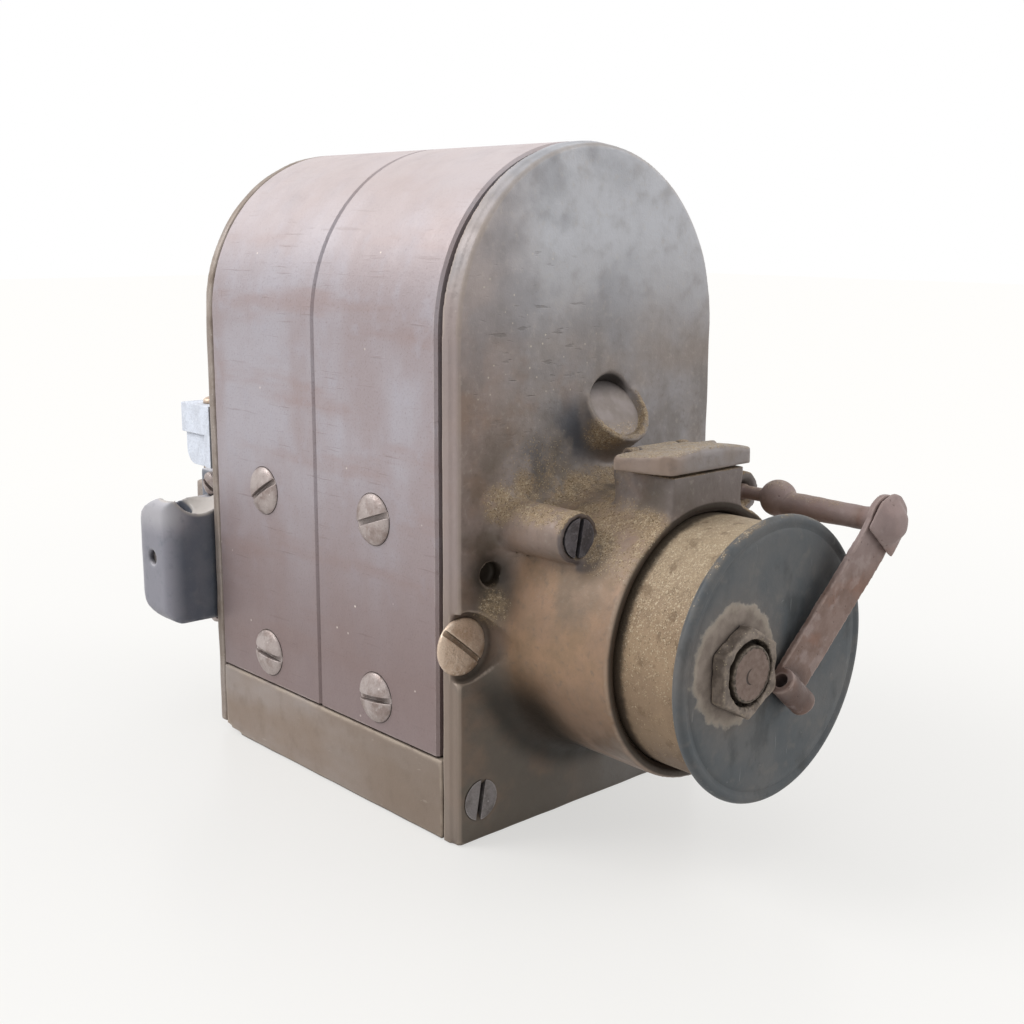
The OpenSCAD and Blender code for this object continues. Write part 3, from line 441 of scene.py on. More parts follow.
def worn_metal(name, base, dark, light, metallic, rough, size, soft=False, edge=0.6):
    """Aged metal with stains, specks, worn edges, and dirt with painted shade in its corners."""
    p = Paint(name, metallic)
    stains, blots, grain = p.noise(size), p.noise(size / 4, 5, shift=3), p.noise(0.35, 3)
    p.coat(p.rise(stains, 0.42, 0.66), base, dark)
    p.layer(light, 0.6, p.rise(blots, 0.5, 0.72))
    p.layer(shaded(dark, 0.6), 0.35, p.rise(grain, 0.5, 0.75))
    p.layer(shaded(light, 1.25), 0.6, p.rise(p.dots(2.6), 0.1, 0.04))
    worn = p.ridge(0.12, 0.5) if soft else p.edges()
    p.layer(shaded(light, 1.2), edge, worn, p.rise(blots, 0.3, 0.6))
    # Painted shade, with some dirt, darkens the inner corners
    corner = p.ridge(-0.1, -0.5) if soft else p.shut(1.5)
    p.layer(shaded(dark, 0.42), 0.8, corner)
    gloss = p.gloss(blots, 0.5, rough)
    return p.finish(gloss, [(grain, 0.05), (blots, 0.15)])


def casting_coat(p, blots, neck, boss, well):
    """Grey plate, lighter towards its arch as painted light, brown to the left and darker brown
    below as painted shade, with a coppery neck painted darker underneath as shade, a boss and the
    oil well.
    """
    p.coat(p.rise(p.noise(24, 4), 0.36, 0.64), (144, 140, 141), (138, 128, 122))
    # Painted light: the plate lighter towards its arch
    p.layer((182, 183, 188), 0.85, p.rise(p.z, 96, 130))
    p.layer((147, 131, 124), 0.65, p.rise(p.x, -12, -34))
    # Painted shade: the plate darker and browner towards its foot
    p.layer((100, 92, 81), 0.9, p.rise(p.z, 66, 26))
    p.layer((124, 116, 110), 0.3, p.rise(blots, 0.45, 0.75))
    copper = p.mix(p.rise(blots, 0.35, 0.65), (152, 122, 97), (138, 113, 90))
    # Painted shade: the neck darker underneath
    copper = p.mix(p.rise(p.z, 46, 24, 0.9), copper, (90, 71, 56))
    p.layer(copper, 0.95, neck)
    p.layer((144, 125, 115), 0.8, boss)
    p.layer((120, 111, 108), 0.85, well)


def plate_stains(p, blots, neck, boss):
    """Cloudy stains of the plate, from its foot to its arch, and a painted reflection of the floor
    along its foot.
    """
    lower_plate = p.rise(p.z, 118, 92)
    # Painted reflection of the floor: a lighter grey band along the foot of the plate
    floor_reflection = p.times(p.rise(p.z, 24, 8), p.rise(p.y, FRONT_Y - 2, FRONT_Y))
    p.layer((116, 113, 111), 0.6, floor_reflection, p.rise(p.x, -14, 10))
    patches = p.rise(p.noise(13, 6, (1, 1, 0.7), shift=21), 0.46, 0.66)
    p.layer((106, 97, 88), 0.5, patches, lower_plate)
    border = p.times(p.rise(p.x, -24, -36), p.rise(p.z, 50, 66), lower_plate)
    p.layer((116, 101, 93), 0.5, border, p.rise(blots, 0.2, 0.5))
    shade = p.rise(p.noise(15, 5, shift=31), 0.42, 0.62)
    p.layer((118, 118, 122), 0.4, shade, p.rise(p.z, 88, 104), p.rise(p.x, 22, 0))
    browned = p.rise(p.noise(11, 5, shift=23), 0.45, 0.62)
    p.layer((138, 114, 97), 0.45, browned, p.rise(p.x, 2, -14), p.rise(p.z, 112, 92))
    fine = p.noise(1.3, 6, shift=15)
    p.layer((104, 94, 86), 0.5, p.rise(fine, 0.52, 0.78), p.rise(p.z, 130, 70))
    p.layer((170, 162, 154), 0.3, p.rise(fine, 0.46, 0.24), p.rise(p.z, 40, 80))
    grime = p.times(p.rise(p.noise(9, 5, shift=17), 0.42, 0.62), p.spots([GRIME]))
    p.layer((78, 69, 56), 0.7, grime, p.rise(boss, 1.4, 0.0), p.rise(neck, 1.6, 0.0))
    p.layer((72, 76, 84), 0.8, p.spots(SMUDGES), p.rise(p.noise(6, 4, shift=9), 0.34, 0.58))


def plate_scrapes(p):
    """Scrapes and pale flecks on the upper left of the plate; gives the scrapes."""
    area = p.spots([SCRAPED])
    scrapes = p.times(p.rise(p.noise(1.6, 4, (0.22, 1, 1), shift=2), 0.6, 0.68), area)
    p.layer((98, 93, 90), 0.45, scrapes)
    p.layer((206, 196, 178), 0.55, p.rise(p.dots(2.6), 0.11, 0.05), area)
    return scrapes


def dark_hollows(p, from_axis):
    """Painted shade, with some grease, in the crescent under the neck and in the pits beside it,
    and a dark foot of the clip post.
    """
    # Painted shade: the crescent where the neck meets the plate underneath
    under = p.times(p.rise(from_axis, 38, 32.5), p.rise(p.z, 42, 29))
    under = p.times(under, p.rise(p.y, NECK_Y + 12, FRONT_Y - 9))
    foot = p.times(p.near(POST, 5, 13), 0.8)
    p.layer((38, 34, 29), 0.86, p.most(under, p.spots(HOLLOWS), foot))


def rubbed_edges(p, blots, well):
    """Brown left side of the plate and its pale worn edges."""
    rim = p.mix(p.rise(p.z, 62, 40), (150, 136, 133), (136, 122, 112))
    p.layer(rim, 0.7, p.rise(p.x, -37.4, -38.6))
    worn = p.times(p.ridge(0.2, 0.5), p.rise(blots, 0.2, 0.5), p.rise(well, 0.8, 0.0))
    p.layer((184, 168, 153), 0.4, worn)


def dark_corners(p, from_axis):
    """Oil cup and end of the boss; painted shade in the oil cup's pocket, and grease with painted
    shade on the lip of the neck and in the inner corners.
    """
    p.layer((112, 102, 96), 0.6, p.near(CUP, 9.5, 11.5), p.rise(p.y, FRONT_Y + 0.4, FRONT_Y - 1))
    # Painted shade on the upper wall of the oil cup's pocket
    pocket = p.rise(p.y, FRONT_Y + 0.2, FRONT_Y + 0.8)
    p.layer((54, 51, 50), 0.9, p.near(CUP_TOP, 4, 8), pocket)
    boss_face = p.rise(p.y, BOSS[1] + 1.5, BOSS[1] + 0.7)
    p.layer((80, 74, 75), 0.8, p.near(BOSS, 6.4, 7.4), boss_face)
    off_screw = p.off_line((-RIM_SCREW[0], 0, RIM_SCREW[1]))
    # Painted shade in corners and crevices, from ambient occlusion, away from the rim screws
    corner = p.times(p.shut(9, 0.62, 0.25), p.rise(off_screw, 7.5, 15), 0.7)
    # Inner corners and the neck's end face: grease with painted shade
    crease = p.times(p.ridge(-0.1, -0.5), p.rise(off_screw, 5.5, 9))
    lip = p.rise(from_axis, NECK_R - 0.2, NECK_R - 0.7)
    lip = p.times(lip, p.rise(p.y, NECK_Y + 0.9, NECK_Y + 0.4))
    p.layer((54, 46, 38), 0.88, p.most(crease, corner, lip))


def shoulder_dust(p):
    """Sandy dust that lies on the neck and has drifted behind the boss; gives the dust."""
    lying = p.times(p.upward(0.1, 0.7), p.rise(p.y, FRONT_Y + 1, FRONT_Y - 3), p.rise(p.z, 58, 68))
    lying = p.times(lying, p.rise(p.noise(6, 5, shift=7), 0.25, 0.6))
    drift = p.most(p.times(p.spots([THIN_DRIFT]), 0.35), p.spots(DRIFTS))
    drift = p.times(drift, p.rise(p.noise(4, 4, shift=4), 0.15, 0.5))
    return p.dust(p.most(lying, drift), 0.85)


def front_bronze():
    """Front casting: grey plate and coppery neck with painted light and shade, grease and painted
    shade in its corners and grit on its shoulders.
    """
    p = Paint("front_bronze", 0.2)
    blots, grain = p.noise(5, 5, shift=5), p.noise(0.4, 3)
    from_axis = p.off_line((0, 0, SHAFT_Z))
    proud = p.rise(p.y, FRONT_Y - 1, FRONT_Y - 6)
    neck = p.times(p.rise(from_axis, 37, 31), proud, p.rise(p.z, 80, 66))
    boss = p.times(p.rise(p.z, 60, 64), proud, p.rise(p.x, -14, -18))
    well = p.times(p.rise(p.x, -13, -11.5), p.rise(p.y, WELL_Y, WELL_Y - 3), p.rise(p.z, 64, 72))
    casting_coat(p, blots, neck, boss, well)
    plate_stains(p, blots, neck, boss)
    scrapes = plate_scrapes(p)
    dark_hollows(p, from_axis)
    rubbed_edges(p, blots, well)
    dark_corners(p, from_axis)
    dust = shoulder_dust(p)
    gloss = p.gloss(blots, 0.5, 0.5, dust, 0.4)
    return p.finish(gloss, [(grain, 0.04), (blots, 0.2), (dust, 0.12), (scrapes, -0.06)])


def magnet_steel():
    """Forged magnet bars: brown violet skin, rust tints and rolling marks, with a patchy painted
    highlight on top and painted shade lower down and in corners.
    """
    p = Paint("magnet_steel", 0.2)
    stains, blots, grain = p.noise(26, 5, (1, 1, 0.6)), p.noise(6, 5, shift=5), p.noise(0.5, 3)
    p.coat(p.rise(stains, 0.38, 0.62), (166, 160, 166), (156, 144, 146))
    p.layer((150, 126, 120), 0.45, p.rise(p.noise(16, 4, (0.3, 0.3, 1.6), shift=8), 0.5, 0.7))
    p.layer((168, 164, 172), 0.45, p.rise(blots, 0.52, 0.75))
    # Painted shade: darker and browner lower down
    p.layer((126, 108, 105), 0.85, p.rise(p.z, 84, 28))
    p.layer((104, 88, 84), 0.3, p.rise(grain, 0.52, 0.75))
    marks = p.rise(p.noise(0.9, 3, (1, 0.05, 1), shift=3), 0.62, 0.72)
    p.layer((118, 100, 96), 0.3, marks)
    # Painted highlight: a patchy pale top, where light falls and reflects
    film = p.times(p.upward(0.1, 0.95), p.rise(p.noise(9, 4, shift=6), -0.2, 0.6))
    p.layer((204, 190, 187), 0.65, film)
    flecks = p.times(p.rise(p.dots(5), 0.07, 0.03), p.rise(p.noise(20, 2, shift=1), 0.5, 0.6))
    p.layer((226, 214, 204), 0.9, flecks)
    seam = p.math("ABSOLUTE", p.math("SUBTRACT", p.y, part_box("front_magnet")[1][1] / MM))
    worn = p.times(p.edges(0.6), p.rise(blots, 0.35, 0.6), p.rise(seam, 1.5, 3))
    p.layer((196, 184, 178), 0.6, worn)
    # Painted shade in corners and crevices
    p.layer((58, 48, 46), 0.55, p.shut(0.7))
    gloss = p.gloss(blots, 0.5, 0.47)
    return p.finish(gloss, [(grain, 0.04), (blots, 0.22), (marks, 0.03)])


def cover_ebonite():
    """Breaker cover: slate ebonite with scratches, a dusty halo at the terminal and painted shade
    in its corners.
    """
    p = Paint("cover_ebonite")
    stains, blots, grain = p.noise(14, 4), p.noise(3, 5, shift=5), p.noise(0.35, 3)
    p.coat(p.rise(stains, 0.36, 0.64), (76, 80, 83), (90, 90, 90))
    p.layer((110, 106, 102), 0.45, p.rise(blots, 0.5, 0.75))
    p.layer((58, 60, 61), 0.6, p.rise(p.noise(7, 5, (1, 1, 0.6), shift=9), 0.52, 0.66))
    scratch = p.rise(p.noise(1.0, 3, (1, 1, 0.08), shift=3), 0.69, 0.74)
    scratch = p.most(scratch, p.rise(p.noise(1.0, 3, (0.3, 1, 0.3), shift=7), 0.7, 0.75))
    p.layer((140, 140, 138), 0.3, scratch)
    uneven = p.ragged(p.vector("DISTANCE", p.place, HALO), 2.5, 4.0, shift=2)
    halo = p.most(p.rise(uneven, 14.2, 13.2), p.times(p.rise(uneven, 19, 13), 0.3))
    crust = p.mix(p.rise(blots, 0.35, 0.65), (146, 133, 122), (124, 111, 101))
    p.layer(crust, 0.85, halo)
    border = p.times(p.rise(uneven, 14.3, 13.7), p.rise(uneven, 11.8, 13.2))
    p.layer((160, 150, 137), 0.5, border)
    worn = p.times(p.edges(0.5), p.rise(blots, 0.35, 0.6))
    p.layer((140, 140, 138), 0.5, worn)
    dust = p.dust(p.times(p.upward(0.3, 0.9), p.rise(p.noise(5, 4, shift=8), 0.4, 0.7), 0.5))
    # Painted shade in corners and crevices
    p.layer((36, 33, 31), 0.8, p.shut(1.5))
    gloss = p.gloss(blots, 0.4, 0.5, p.most(halo, dust), 0.3)
    return p.finish(gloss, [(grain, 0.03), (blots, 0.08), (scratch, -0.03), (halo, 0.12)])


def ring_brass():
    """Timing ring: brown brass under a coat of sandy dust, with painted shade below and painted
    light on top, greasy and with painted shade where it enters the neck.
    """
    p = Paint("ring_brass", 0.1)
    stains, blots, grain = p.noise(9, 5), p.noise(2.4, 5, shift=5), p.noise(0.4, 3)
    p.coat(p.rise(stains, 0.36, 0.64), (146, 124, 100), (132, 111, 90))
    p.layer((118, 97, 78), 0.4, p.rise(blots, 0.5, 0.75))
    # Painted shade: darker on the lower side
    p.layer((92, 76, 64), 0.8, p.rise(p.z, 42, 20))
    clumps = p.times(p.rise(blots, 0.35, 0.6), 0.2)
    cover = p.math("ADD", p.times(p.upward(-0.4, 0.9), 0.75), clumps)
    dust = p.dust(cover, 0.35)
    # Painted light: paler on top
    p.layer((186, 172, 148), 0.3, p.upward(0.3, 1.0))
    flecks = p.rise(p.dots(1.9), 0.1, 0.05)
    p.layer((206, 190, 154), 0.3, flecks)
    crusts = p.rise(p.noise(3.2, 5, shift=14), 0.56, 0.68)
    p.layer((100, 80, 60), 0.5, crusts)
    # Grease along the neck, with painted shade in crevices
    grease = p.rise(p.ragged(p.y, 1.5, 1.6, shift=2), NECK_Y - 1.2, NECK_Y + 0.6)
    p.layer((50, 42, 35), 0.85, p.most(grease, p.shut(3)))
    gloss = p.gloss(blots, 0.4, 0.64)
    return p.finish(gloss, [(grain, 0.04), (blots, 0.08), (dust, 0.08), (crusts, 0.06)])


def rusty_steel():
    """Clip parts: thin brown rust with red patches and pits, with painted shade at the rolled eye
    and in inner corners.
    """
    p = Paint("rusty_steel", 0.12)
    stains, blots, grain = p.noise(6, 4), p.noise(1.8, 5, shift=5), p.noise(0.3, 3)
    p.coat(p.rise(stains, 0.34, 0.64), (132, 112, 104), (116, 95, 86))
    p.layer((130, 97, 82), 0.65, p.rise(p.noise(8, 4, shift=3), 0.5, 0.66))
    p.layer((104, 88, 80), 0.35, p.rise(blots, 0.5, 0.75))
    strap_top = p.times(p.rise(p.z, 56, 70), p.rise(p.y, -98, -102))
    pale = p.most(strap_top, p.times(p.rise(p.y, -101, -96), 0.8))
    p.layer((148, 132, 130), 0.7, pale)
    # Painted shade: the rolled eye of the strap darker
    p.layer((86, 72, 68), 0.75, p.near(EYE, 3.2, 7))
    rubbed = p.rise(p.noise(4, 4, shift=19), 0.54, 0.68)
    p.layer((160, 146, 142), 0.4, rubbed)
    worn = p.times(p.ridge(0.12, 0.5), p.rise(blots, 0.3, 0.6))
    p.layer((176, 158, 150), 0.4, worn)
    # Painted shade in inner corners
    p.layer((46, 36, 32), 0.85, p.ridge(-0.1, -0.5))
    pits = p.rise(p.dots(1.7), 0.16, 0.07)
    p.layer((74, 56, 48), 0.4, pits)
    dust = p.dust(p.times(p.upward(0.4, 1.0), p.rise(p.y, -98, -92), 0.4))
    gloss = p.gloss(blots, 0.5, 0.58)
    return p.finish(gloss, [(grain, 0.04), (blots, 0.1), (pits, -0.06), (dust, 0.06)])


def pickup_ebonite():
    """Pickup moulding: blue grey ebonite with a painted reflection of the window on its outer
    side, painted light on its top and shoulder, a pale mouth and painted shade in its corners.
    """
    p = Paint("pickup_ebonite")
    stains, blots, grain = p.noise(10, 5), p.noise(2.5, 5, shift=5), p.noise(0.3, 3)
    p.coat(p.rise(stains, 0.38, 0.62), (98, 103, 113), (110, 112, 120))
    p.layer((124, 123, 128), 0.4, p.rise(blots, 0.52, 0.74))
    # Painted reflection of the window: the outer side paler
    window_reflection = p.times(p.rise(p.x, -46.5, -50.6), p.rise(blots, 0.1, 0.5))
    p.layer((134, 132, 140), 0.85, window_reflection)
    # Painted light: paler on top
    top_light = p.times(p.upward(0.3, 0.9), p.rise(blots, 0.2, 0.5))
    p.layer((206, 202, 206), 0.8, top_light)
    # Painted light: the outer shoulder paler
    shoulder = p.times(p.rise(p.z, 50, 57), p.rise(p.x, -43, -48), p.rise(blots, 0.1, 0.5))
    p.layer((176, 173, 177), 0.75, shoulder)
    mouth = p.times(p.near(DISH, 9.4, 10.2), p.rise(p.z, 54.5, 56))
    p.layer((190, 182, 174), 0.85, mouth)
    worn = p.times(p.ridge(0.12, 0.5), p.rise(blots, 0.35, 0.6))
    p.layer((150, 150, 154), 0.4, worn)
    # Painted shade in corners and crevices
    p.layer((40, 38, 40), 0.85, p.shut(5, 0.5, 0.2))
    gloss = p.gloss(blots, 0.4, 0.42)
    return p.finish(gloss, [(grain, 0.03), (blots, 0.1)])


def crusty_brass():
    """Terminal: worn brass with a dark crust round the stud and a small bent mark on its end."""
    p = Paint("crusty_brass", 0.2)
    stains, blots, grain = p.noise(3, 5), p.noise(1.1, 5, shift=5), p.noise(0.3, 3)
    p.coat(p.rise(stains, 0.36, 0.62), (132, 120, 110), (100, 90, 82))
    p.layer((142, 128, 114), 0.5, p.rise(blots, 0.52, 0.74))
    out = p.off_line(TERMINAL)
    end = p.mix(p.rise(blots, 0.4, 0.7), (118, 100, 91), (104, 86, 78))
    p.layer(end, 0.85, p.rise(out, 5.4, 4.9))
    crust = p.rise(p.ragged(out, 1.0, 1.4, shift=2), 5.6, 5.9)
    crust = p.times(crust, p.rise(p.ragged(out, 0.9, 2.0, shift=6), 8.0, 7.3))
    p.layer((46, 38, 30), 0.85, crust)
    x, y, z = TERMINAL
    outer, inner = (x - 0.2, y - 3.4, z - 0.4), (x + 0.35, y - 3.4, z - 0.4)
    off_inner = p.rise(p.vector("DISTANCE", p.place, inner), 1.5, 1.65)
    mark = p.times(p.near(outer, 1.5, 1.65), off_inner)
    p.layer((42, 34, 30), 0.85, mark)
    sparks = p.times(p.rise(p.dots(0.9), 0.16, 0.08), p.rise(out, 5.5, 6.5))
    p.layer((196, 182, 150), 0.6, sparks)
    worn = p.times(p.ridge(0.12, 0.5), p.rise(blots, 0.35, 0.6))
    p.layer((158, 144, 128), 0.4, worn)
    gloss = p.gloss(blots, 0.5, 0.58)
    return p.finish(gloss, [(grain, 0.05), (blots, 0.18), (crust, 0.15), (mark, -0.1)])


def base_casting_bronze():
    """Base: brown grey bronze, browner and darker to the front, with a few rubbed spots and
    painted shade in its corners.
    """
    p = Paint("base_bronze", 0.2)
    stains, blots, grain = p.noise(20, 4, (1, 0.5, 1)), p.noise(5, 5, shift=5), p.noise(0.4, 3)
    p.coat(p.rise(stains, 0.36, 0.64), (150, 139, 133), (138, 122, 110))
    p.layer((122, 107, 94), 0.75, p.rise(p.y, 20, -42))
    p.layer((118, 104, 92), 0.35, p.rise(blots, 0.5, 0.76))
    rubs = p.rise(p.noise(1.4, 4, (1, 0.3, 1), shift=2), 0.66, 0.74)
    p.layer((174, 162, 150), 0.3, rubs)
    worn = p.times(p.ridge(0.15, 0.5), p.rise(blots, 0.3, 0.6))
    p.layer((180, 166, 150), 0.45, worn)
    # Painted shade in corners and crevices
    p.layer((52, 44, 38), 0.8, p.most(p.ridge(-0.1, -0.5), p.shut(1.5)))
    gloss = p.gloss(blots, 0.5, 0.5)
    return p.finish(gloss, [(grain, 0.04), (blots, 0.16), (rubs, 0.03)])


def dusty_lid():
    """Oil lid: grey brown bronze, rubbed at its corners, with painted light and dust on top."""
    p = Paint("lid_bronze", 0.15)
    stains, blots, grain = p.noise(7, 4), p.noise(2.2, 5, shift=5), p.noise(0.35, 3)
    p.coat(p.rise(stains, 0.36, 0.64), (138, 131, 129), (134, 124, 118))
    p.layer((142, 120, 104), 0.6, p.rise(p.x, -6, -13))
    p.layer((112, 102, 96), 0.4, p.rise(blots, 0.5, 0.75))
    worn = p.times(p.ridge(0.15, 0.5), p.rise(blots, 0.3, 0.6))
    p.layer((176, 162, 150), 0.45, worn)
    # Painted light: paler on top
    p.layer((172, 162, 150), 0.5, p.upward(0.5, 1.0))
    dust = p.dust(p.times(p.upward(0.35, 0.95), p.rise(p.noise(5, 4, shift=7), 0.15, 0.6), 0.8))
    gloss = p.gloss(blots, 0.5, 0.5, dust, 0.3)
    return p.finish(gloss, [(grain, 0.04), (blots, 0.12), (dust, 0.1)])


def sunk_disc():
    """Plug of the oil cup: grey disc with painted shade towards the top of its pocket and in its
    corners.
    """
    p = Paint("oil_disc", 0.2)
    stains, blots, grain = p.noise(4, 4), p.noise(1.5, 5, shift=5), p.noise(0.3, 3)
    p.coat(p.rise(stains, 0.36, 0.64), (148, 138, 134), (134, 124, 118))
    p.layer((148, 140, 136), 0.4, p.rise(blots, 0.52, 0.75))
    # Painted shade: the upper part of the disc, under the pocket's overhang
    p.layer((62, 58, 58), 0.85, p.rise(p.z, 91.0, 95.0))
    # Painted shade in corners and crevices
    p.layer((58, 50, 44), 0.7, p.shut(1.2))
    dust = p.dust(p.rise(p.z, 88, 84, 0.5))
    gloss = p.gloss(blots, 0.5, 0.55)
    return p.finish(gloss, [(grain, 0.04), (blots, 0.1), (dust, 0.06)])


def turned_steel(name, base, dark):
    """Bright steel with fine turning marks round the shaft, some tarnish and painted shade in its
    corners.
    """
    p = Paint(name, 0.95)
    turns, blots, grain = p.noise(0.5, 3, (0.12, 1, 0.12)), p.noise(4, 5, shift=5), p.noise(0.3, 3)
    p.coat(p.rise(turns, 0.4, 0.62), base, shaded(base, 0.86))
    p.layer(dark, 0.6, p.rise(blots, 0.52, 0.74))
    # Painted shade in corners and crevices
    p.layer(shaded(dark, 0.4), 0.7, p.shut(1.2))
    gloss = p.math("ADD", p.times(blots, 0.35), 0.16, clamp=True)
    return p.finish(gloss, [(turns, 0.02), (grain, 0.015)])


def woven_felt():
    """Felt seal: matted fibres soaked with oil."""
    p = Paint("woven_felt")
    hairs, blots = p.noise(0.5, 4, (1, 1, 0.3)), p.noise(3, 4, shift=5)
    p.coat(p.rise(blots, 0.4, 0.62), (112, 100, 84), (84, 72, 58))
    p.layer((140, 128, 110), 0.6, p.rise(hairs, 0.5, 0.7))
    return p.finish(p.rise(blots, 0.2, 0.9), [(hairs, 0.2)])


def wrapped_coil():
    """Varnished winding with its wire layers."""
    p = Paint("wrapped_coil", 0.2)
    turns, blots = p.noise(0.35, 2, (1, 0.08, 1)), p.noise(4, 4, shift=5)
    p.coat(p.rise(turns, 0.4, 0.6), (148, 92, 58), (112, 66, 40))
    p.layer((86, 54, 36), 0.6, p.rise(blots, 0.5, 0.7))
    return p.finish(p.rise(blots, -0.4, 1.2), [(turns, 0.1)])


AGED = {
    "bronze": ((146, 135, 128), (132, 118, 107), (156, 146, 138),
               dict(metallic=0.25, rough=0.5, size=14, soft=True, edge=0.35)),
    "screw_steel": ((172, 160, 156), (140, 124, 118), (186, 176, 172),
                    dict(metallic=0.4, rough=0.4, size=5)),
    "dark_steel": ((136, 130, 129), (108, 101, 98), (156, 150, 148),
                   dict(metallic=0.3, rough=0.48, size=4)),
    "pale_brass": ((206, 184, 164), (176, 150, 128), (222, 206, 190),
                   dict(metallic=0.45, rough=0.38, size=5)),
    "slate_steel": ((96, 92, 96), (76, 72, 74), (118, 114, 116),
                    dict(metallic=0.2, rough=0.5, size=3)),
    "clean_brass": ((176, 150, 104), (146, 120, 80), (196, 174, 130),
                    dict(metallic=0.85, rough=0.35, size=5)),
    "soft_iron": ((120, 114, 110), (96, 90, 86), (140, 134, 130),
                  dict(metallic=0.7, rough=0.5, size=6)),
    "pale_alloy": ((214, 219, 230), (200, 204, 214), (224, 228, 236),
                   dict(metallic=0.0, rough=0.5, size=4, edge=0.3)),
    "ebonite": ((70, 66, 62), (54, 48, 44), (92, 86, 80),
                dict(metallic=0.0, rough=0.45, size=5)),
    "carbon": ((52, 50, 50), (38, 36, 36), (74, 72, 72),
               dict(metallic=0.1, rough=0.5, size=3)),
    "wrapping": ((150, 130, 96), (118, 100, 70), (170, 150, 116),
                 dict(metallic=0.0, rough=0.6, size=3)),
}
aged = {name: worn_metal(name, *colours, **surface) for name, (*colours, surface) in AGED.items()}
magnet_paint, ring_paint, rust = magnet_steel(), ring_brass(), rusty_steel()
terminal_paint = crusty_brass()
race_paint = turned_steel("race_steel", (176, 176, 178), (132, 128, 124))
shaft_paint = turned_steel("shaft_steel", (164, 162, 160), (118, 108, 98))

slot_paint = {
    "bronze": aged["bronze"],
    "magnet_steel": magnet_paint,
    "iron": aged["soft_iron"],
    "screw_steel": aged["screw_steel"],
    "dark_steel": aged["dark_steel"],
    "brassy_screw": aged["pale_brass"],
    "brass": aged["clean_brass"],
    "ring_brass": ring_paint,
    "ebonite": aged["ebonite"],
    "clip_steel": rust,
    "race_steel": race_paint,
    "alloy": aged["pale_alloy"],
    "carbon": aged["carbon"],
    "copper": wrapped_coil(),
    "felt": woven_felt(),
    "mica_pack": aged["wrapping"],
}
own_paint = {"lead_screw": aged["dark_steel"], "boss_screw": aged["slate_steel"]}


# Pieces

FILL_SHARE = 0.9
FILL_OFF_SCREW = 11.0
WELL_EASE, WELL_FADE = 0.8, 3.0
CROWN_HALF, CROWN_LEFT, CROWN_RIGHT = 14.0, 1.0, 1.9
THREAD_SIDES, THREAD_ROWS = 64, 10
THREAD_DEPTH, THREAD_CHAMFER = 0.65, 0.9
FLANK_STEEP, FLANK_FLAT = 1.3, 0.15
THREAD_LAP = 0.05


def neck_root(spots):
    """Share of filling for the front casting: its outside, off the rim screws and the hinge."""
    x, y, z = (spots / MM).T
    outside = np.hypot(x, z - SHAFT_Z) > NECK_R - 2.5
    clear = np.hypot(abs(x) - RIM_SCREW[0], z - RIM_SCREW[1]) > FILL_OFF_SCREW
    hinge = (abs(x) < HINGE_HALF) & (y < WELL_Y) & (z > HINGE_Z)
    return np.where(outside & clear & ~hinge & (y < FRONT_Y + 1.2), FILL_SHARE, 0.0)


def well_block(spots):
    """Share of rounding for the oil well's block under the lid."""
    x, y, z = (spots / MM).T
    low, high = WELL_Z
    inside = (abs(x) < WELL_HALF) & (y < WELL_Y) & (z > low)
    return np.clip((high - z) / WELL_FADE, 0, 1) * inside * WELL_EASE


def round_lid(spots):
    """Rounds the lid's front corners in plan and crowns its top."""
    radius, middle = LID_CORNER * MM, sum(LID_X) / 2 * MM
    for side, x in zip((-1, 1), LID_X):
        centre = np.array([x * MM - side * radius, LID_Y * MM + radius])
        away = spots[:, :2] - centre
        reach = np.hypot(*away.T)
        out = (away[:, 0] * side > 0) & (away[:, 1] < 0) & (reach > radius)
        spots[out, :2] = centre + away[out] * (radius / reach[out])[:, None]
    height = np.clip((spots[:, 2] - LID_Z * MM) / (LID_THICK * MM), 0, 1)
    front = spots[:, 1] < LID_REAR_Y * MM
    across = (spots[:, 0] - middle) / (CROWN_HALF * MM)
    fall = np.where(across > 0, CROWN_RIGHT, CROWN_LEFT) * MM
    spots[:, 2] -= front * height * fall * across ** 2
    return spots


def thread_radius(y, turn):
    """Radius of the thread at a place along the shaft and a share of a turn."""
    wave = abs(((y / THREAD_PITCH - turn) % 1) * 2 - 1)
    depth = THREAD_DEPTH * min(1, max(0, FLANK_STEEP * wave - FLANK_FLAT))
    return min(THREAD_R - depth, THREAD_R - THREAD_CHAMFER + (THREAD_END - y))


def threaded_end():
    """Screw thread of the drive end, as a skin whose radius follows the helix."""
    steps = int((THREAD_END - THREAD_Y) / THREAD_PITCH * THREAD_ROWS)
    skin, rows = bmesh.new(), []
    for i in range(steps + 1):
        y = THREAD_Y + (THREAD_END - THREAD_Y) * i / steps
        ring = []
        for j in range(THREAD_SIDES):
            angle = math.tau * j / THREAD_SIDES
            radius = thread_radius(y, j / THREAD_SIDES)
            spot = (radius * math.cos(angle), y, SHAFT_Z - radius * math.sin(angle))
            ring.append(skin.verts.new([c * MM for c in spot]))
        rows.append(ring)
    for a, b in zip(rows, rows[1:]):
        for j in range(THREAD_SIDES):
            k = (j + 1) % THREAD_SIDES
            skin.faces.new((a[j], a[k], b[k], b[j]))
    skin.faces.new(rows[0][::-1])
    skin.faces.new(rows[-1])
    bmesh.ops.recalc_face_normals(skin, faces=skin.faces)
    mesh = bpy.data.meshes.new("threaded_end")
    skin.to_mesh(mesh)
    skin.free()
    mesh.shade_smooth()
    mesh.set_sharp_from_angle(angle=math.radians(50))
    return mesh


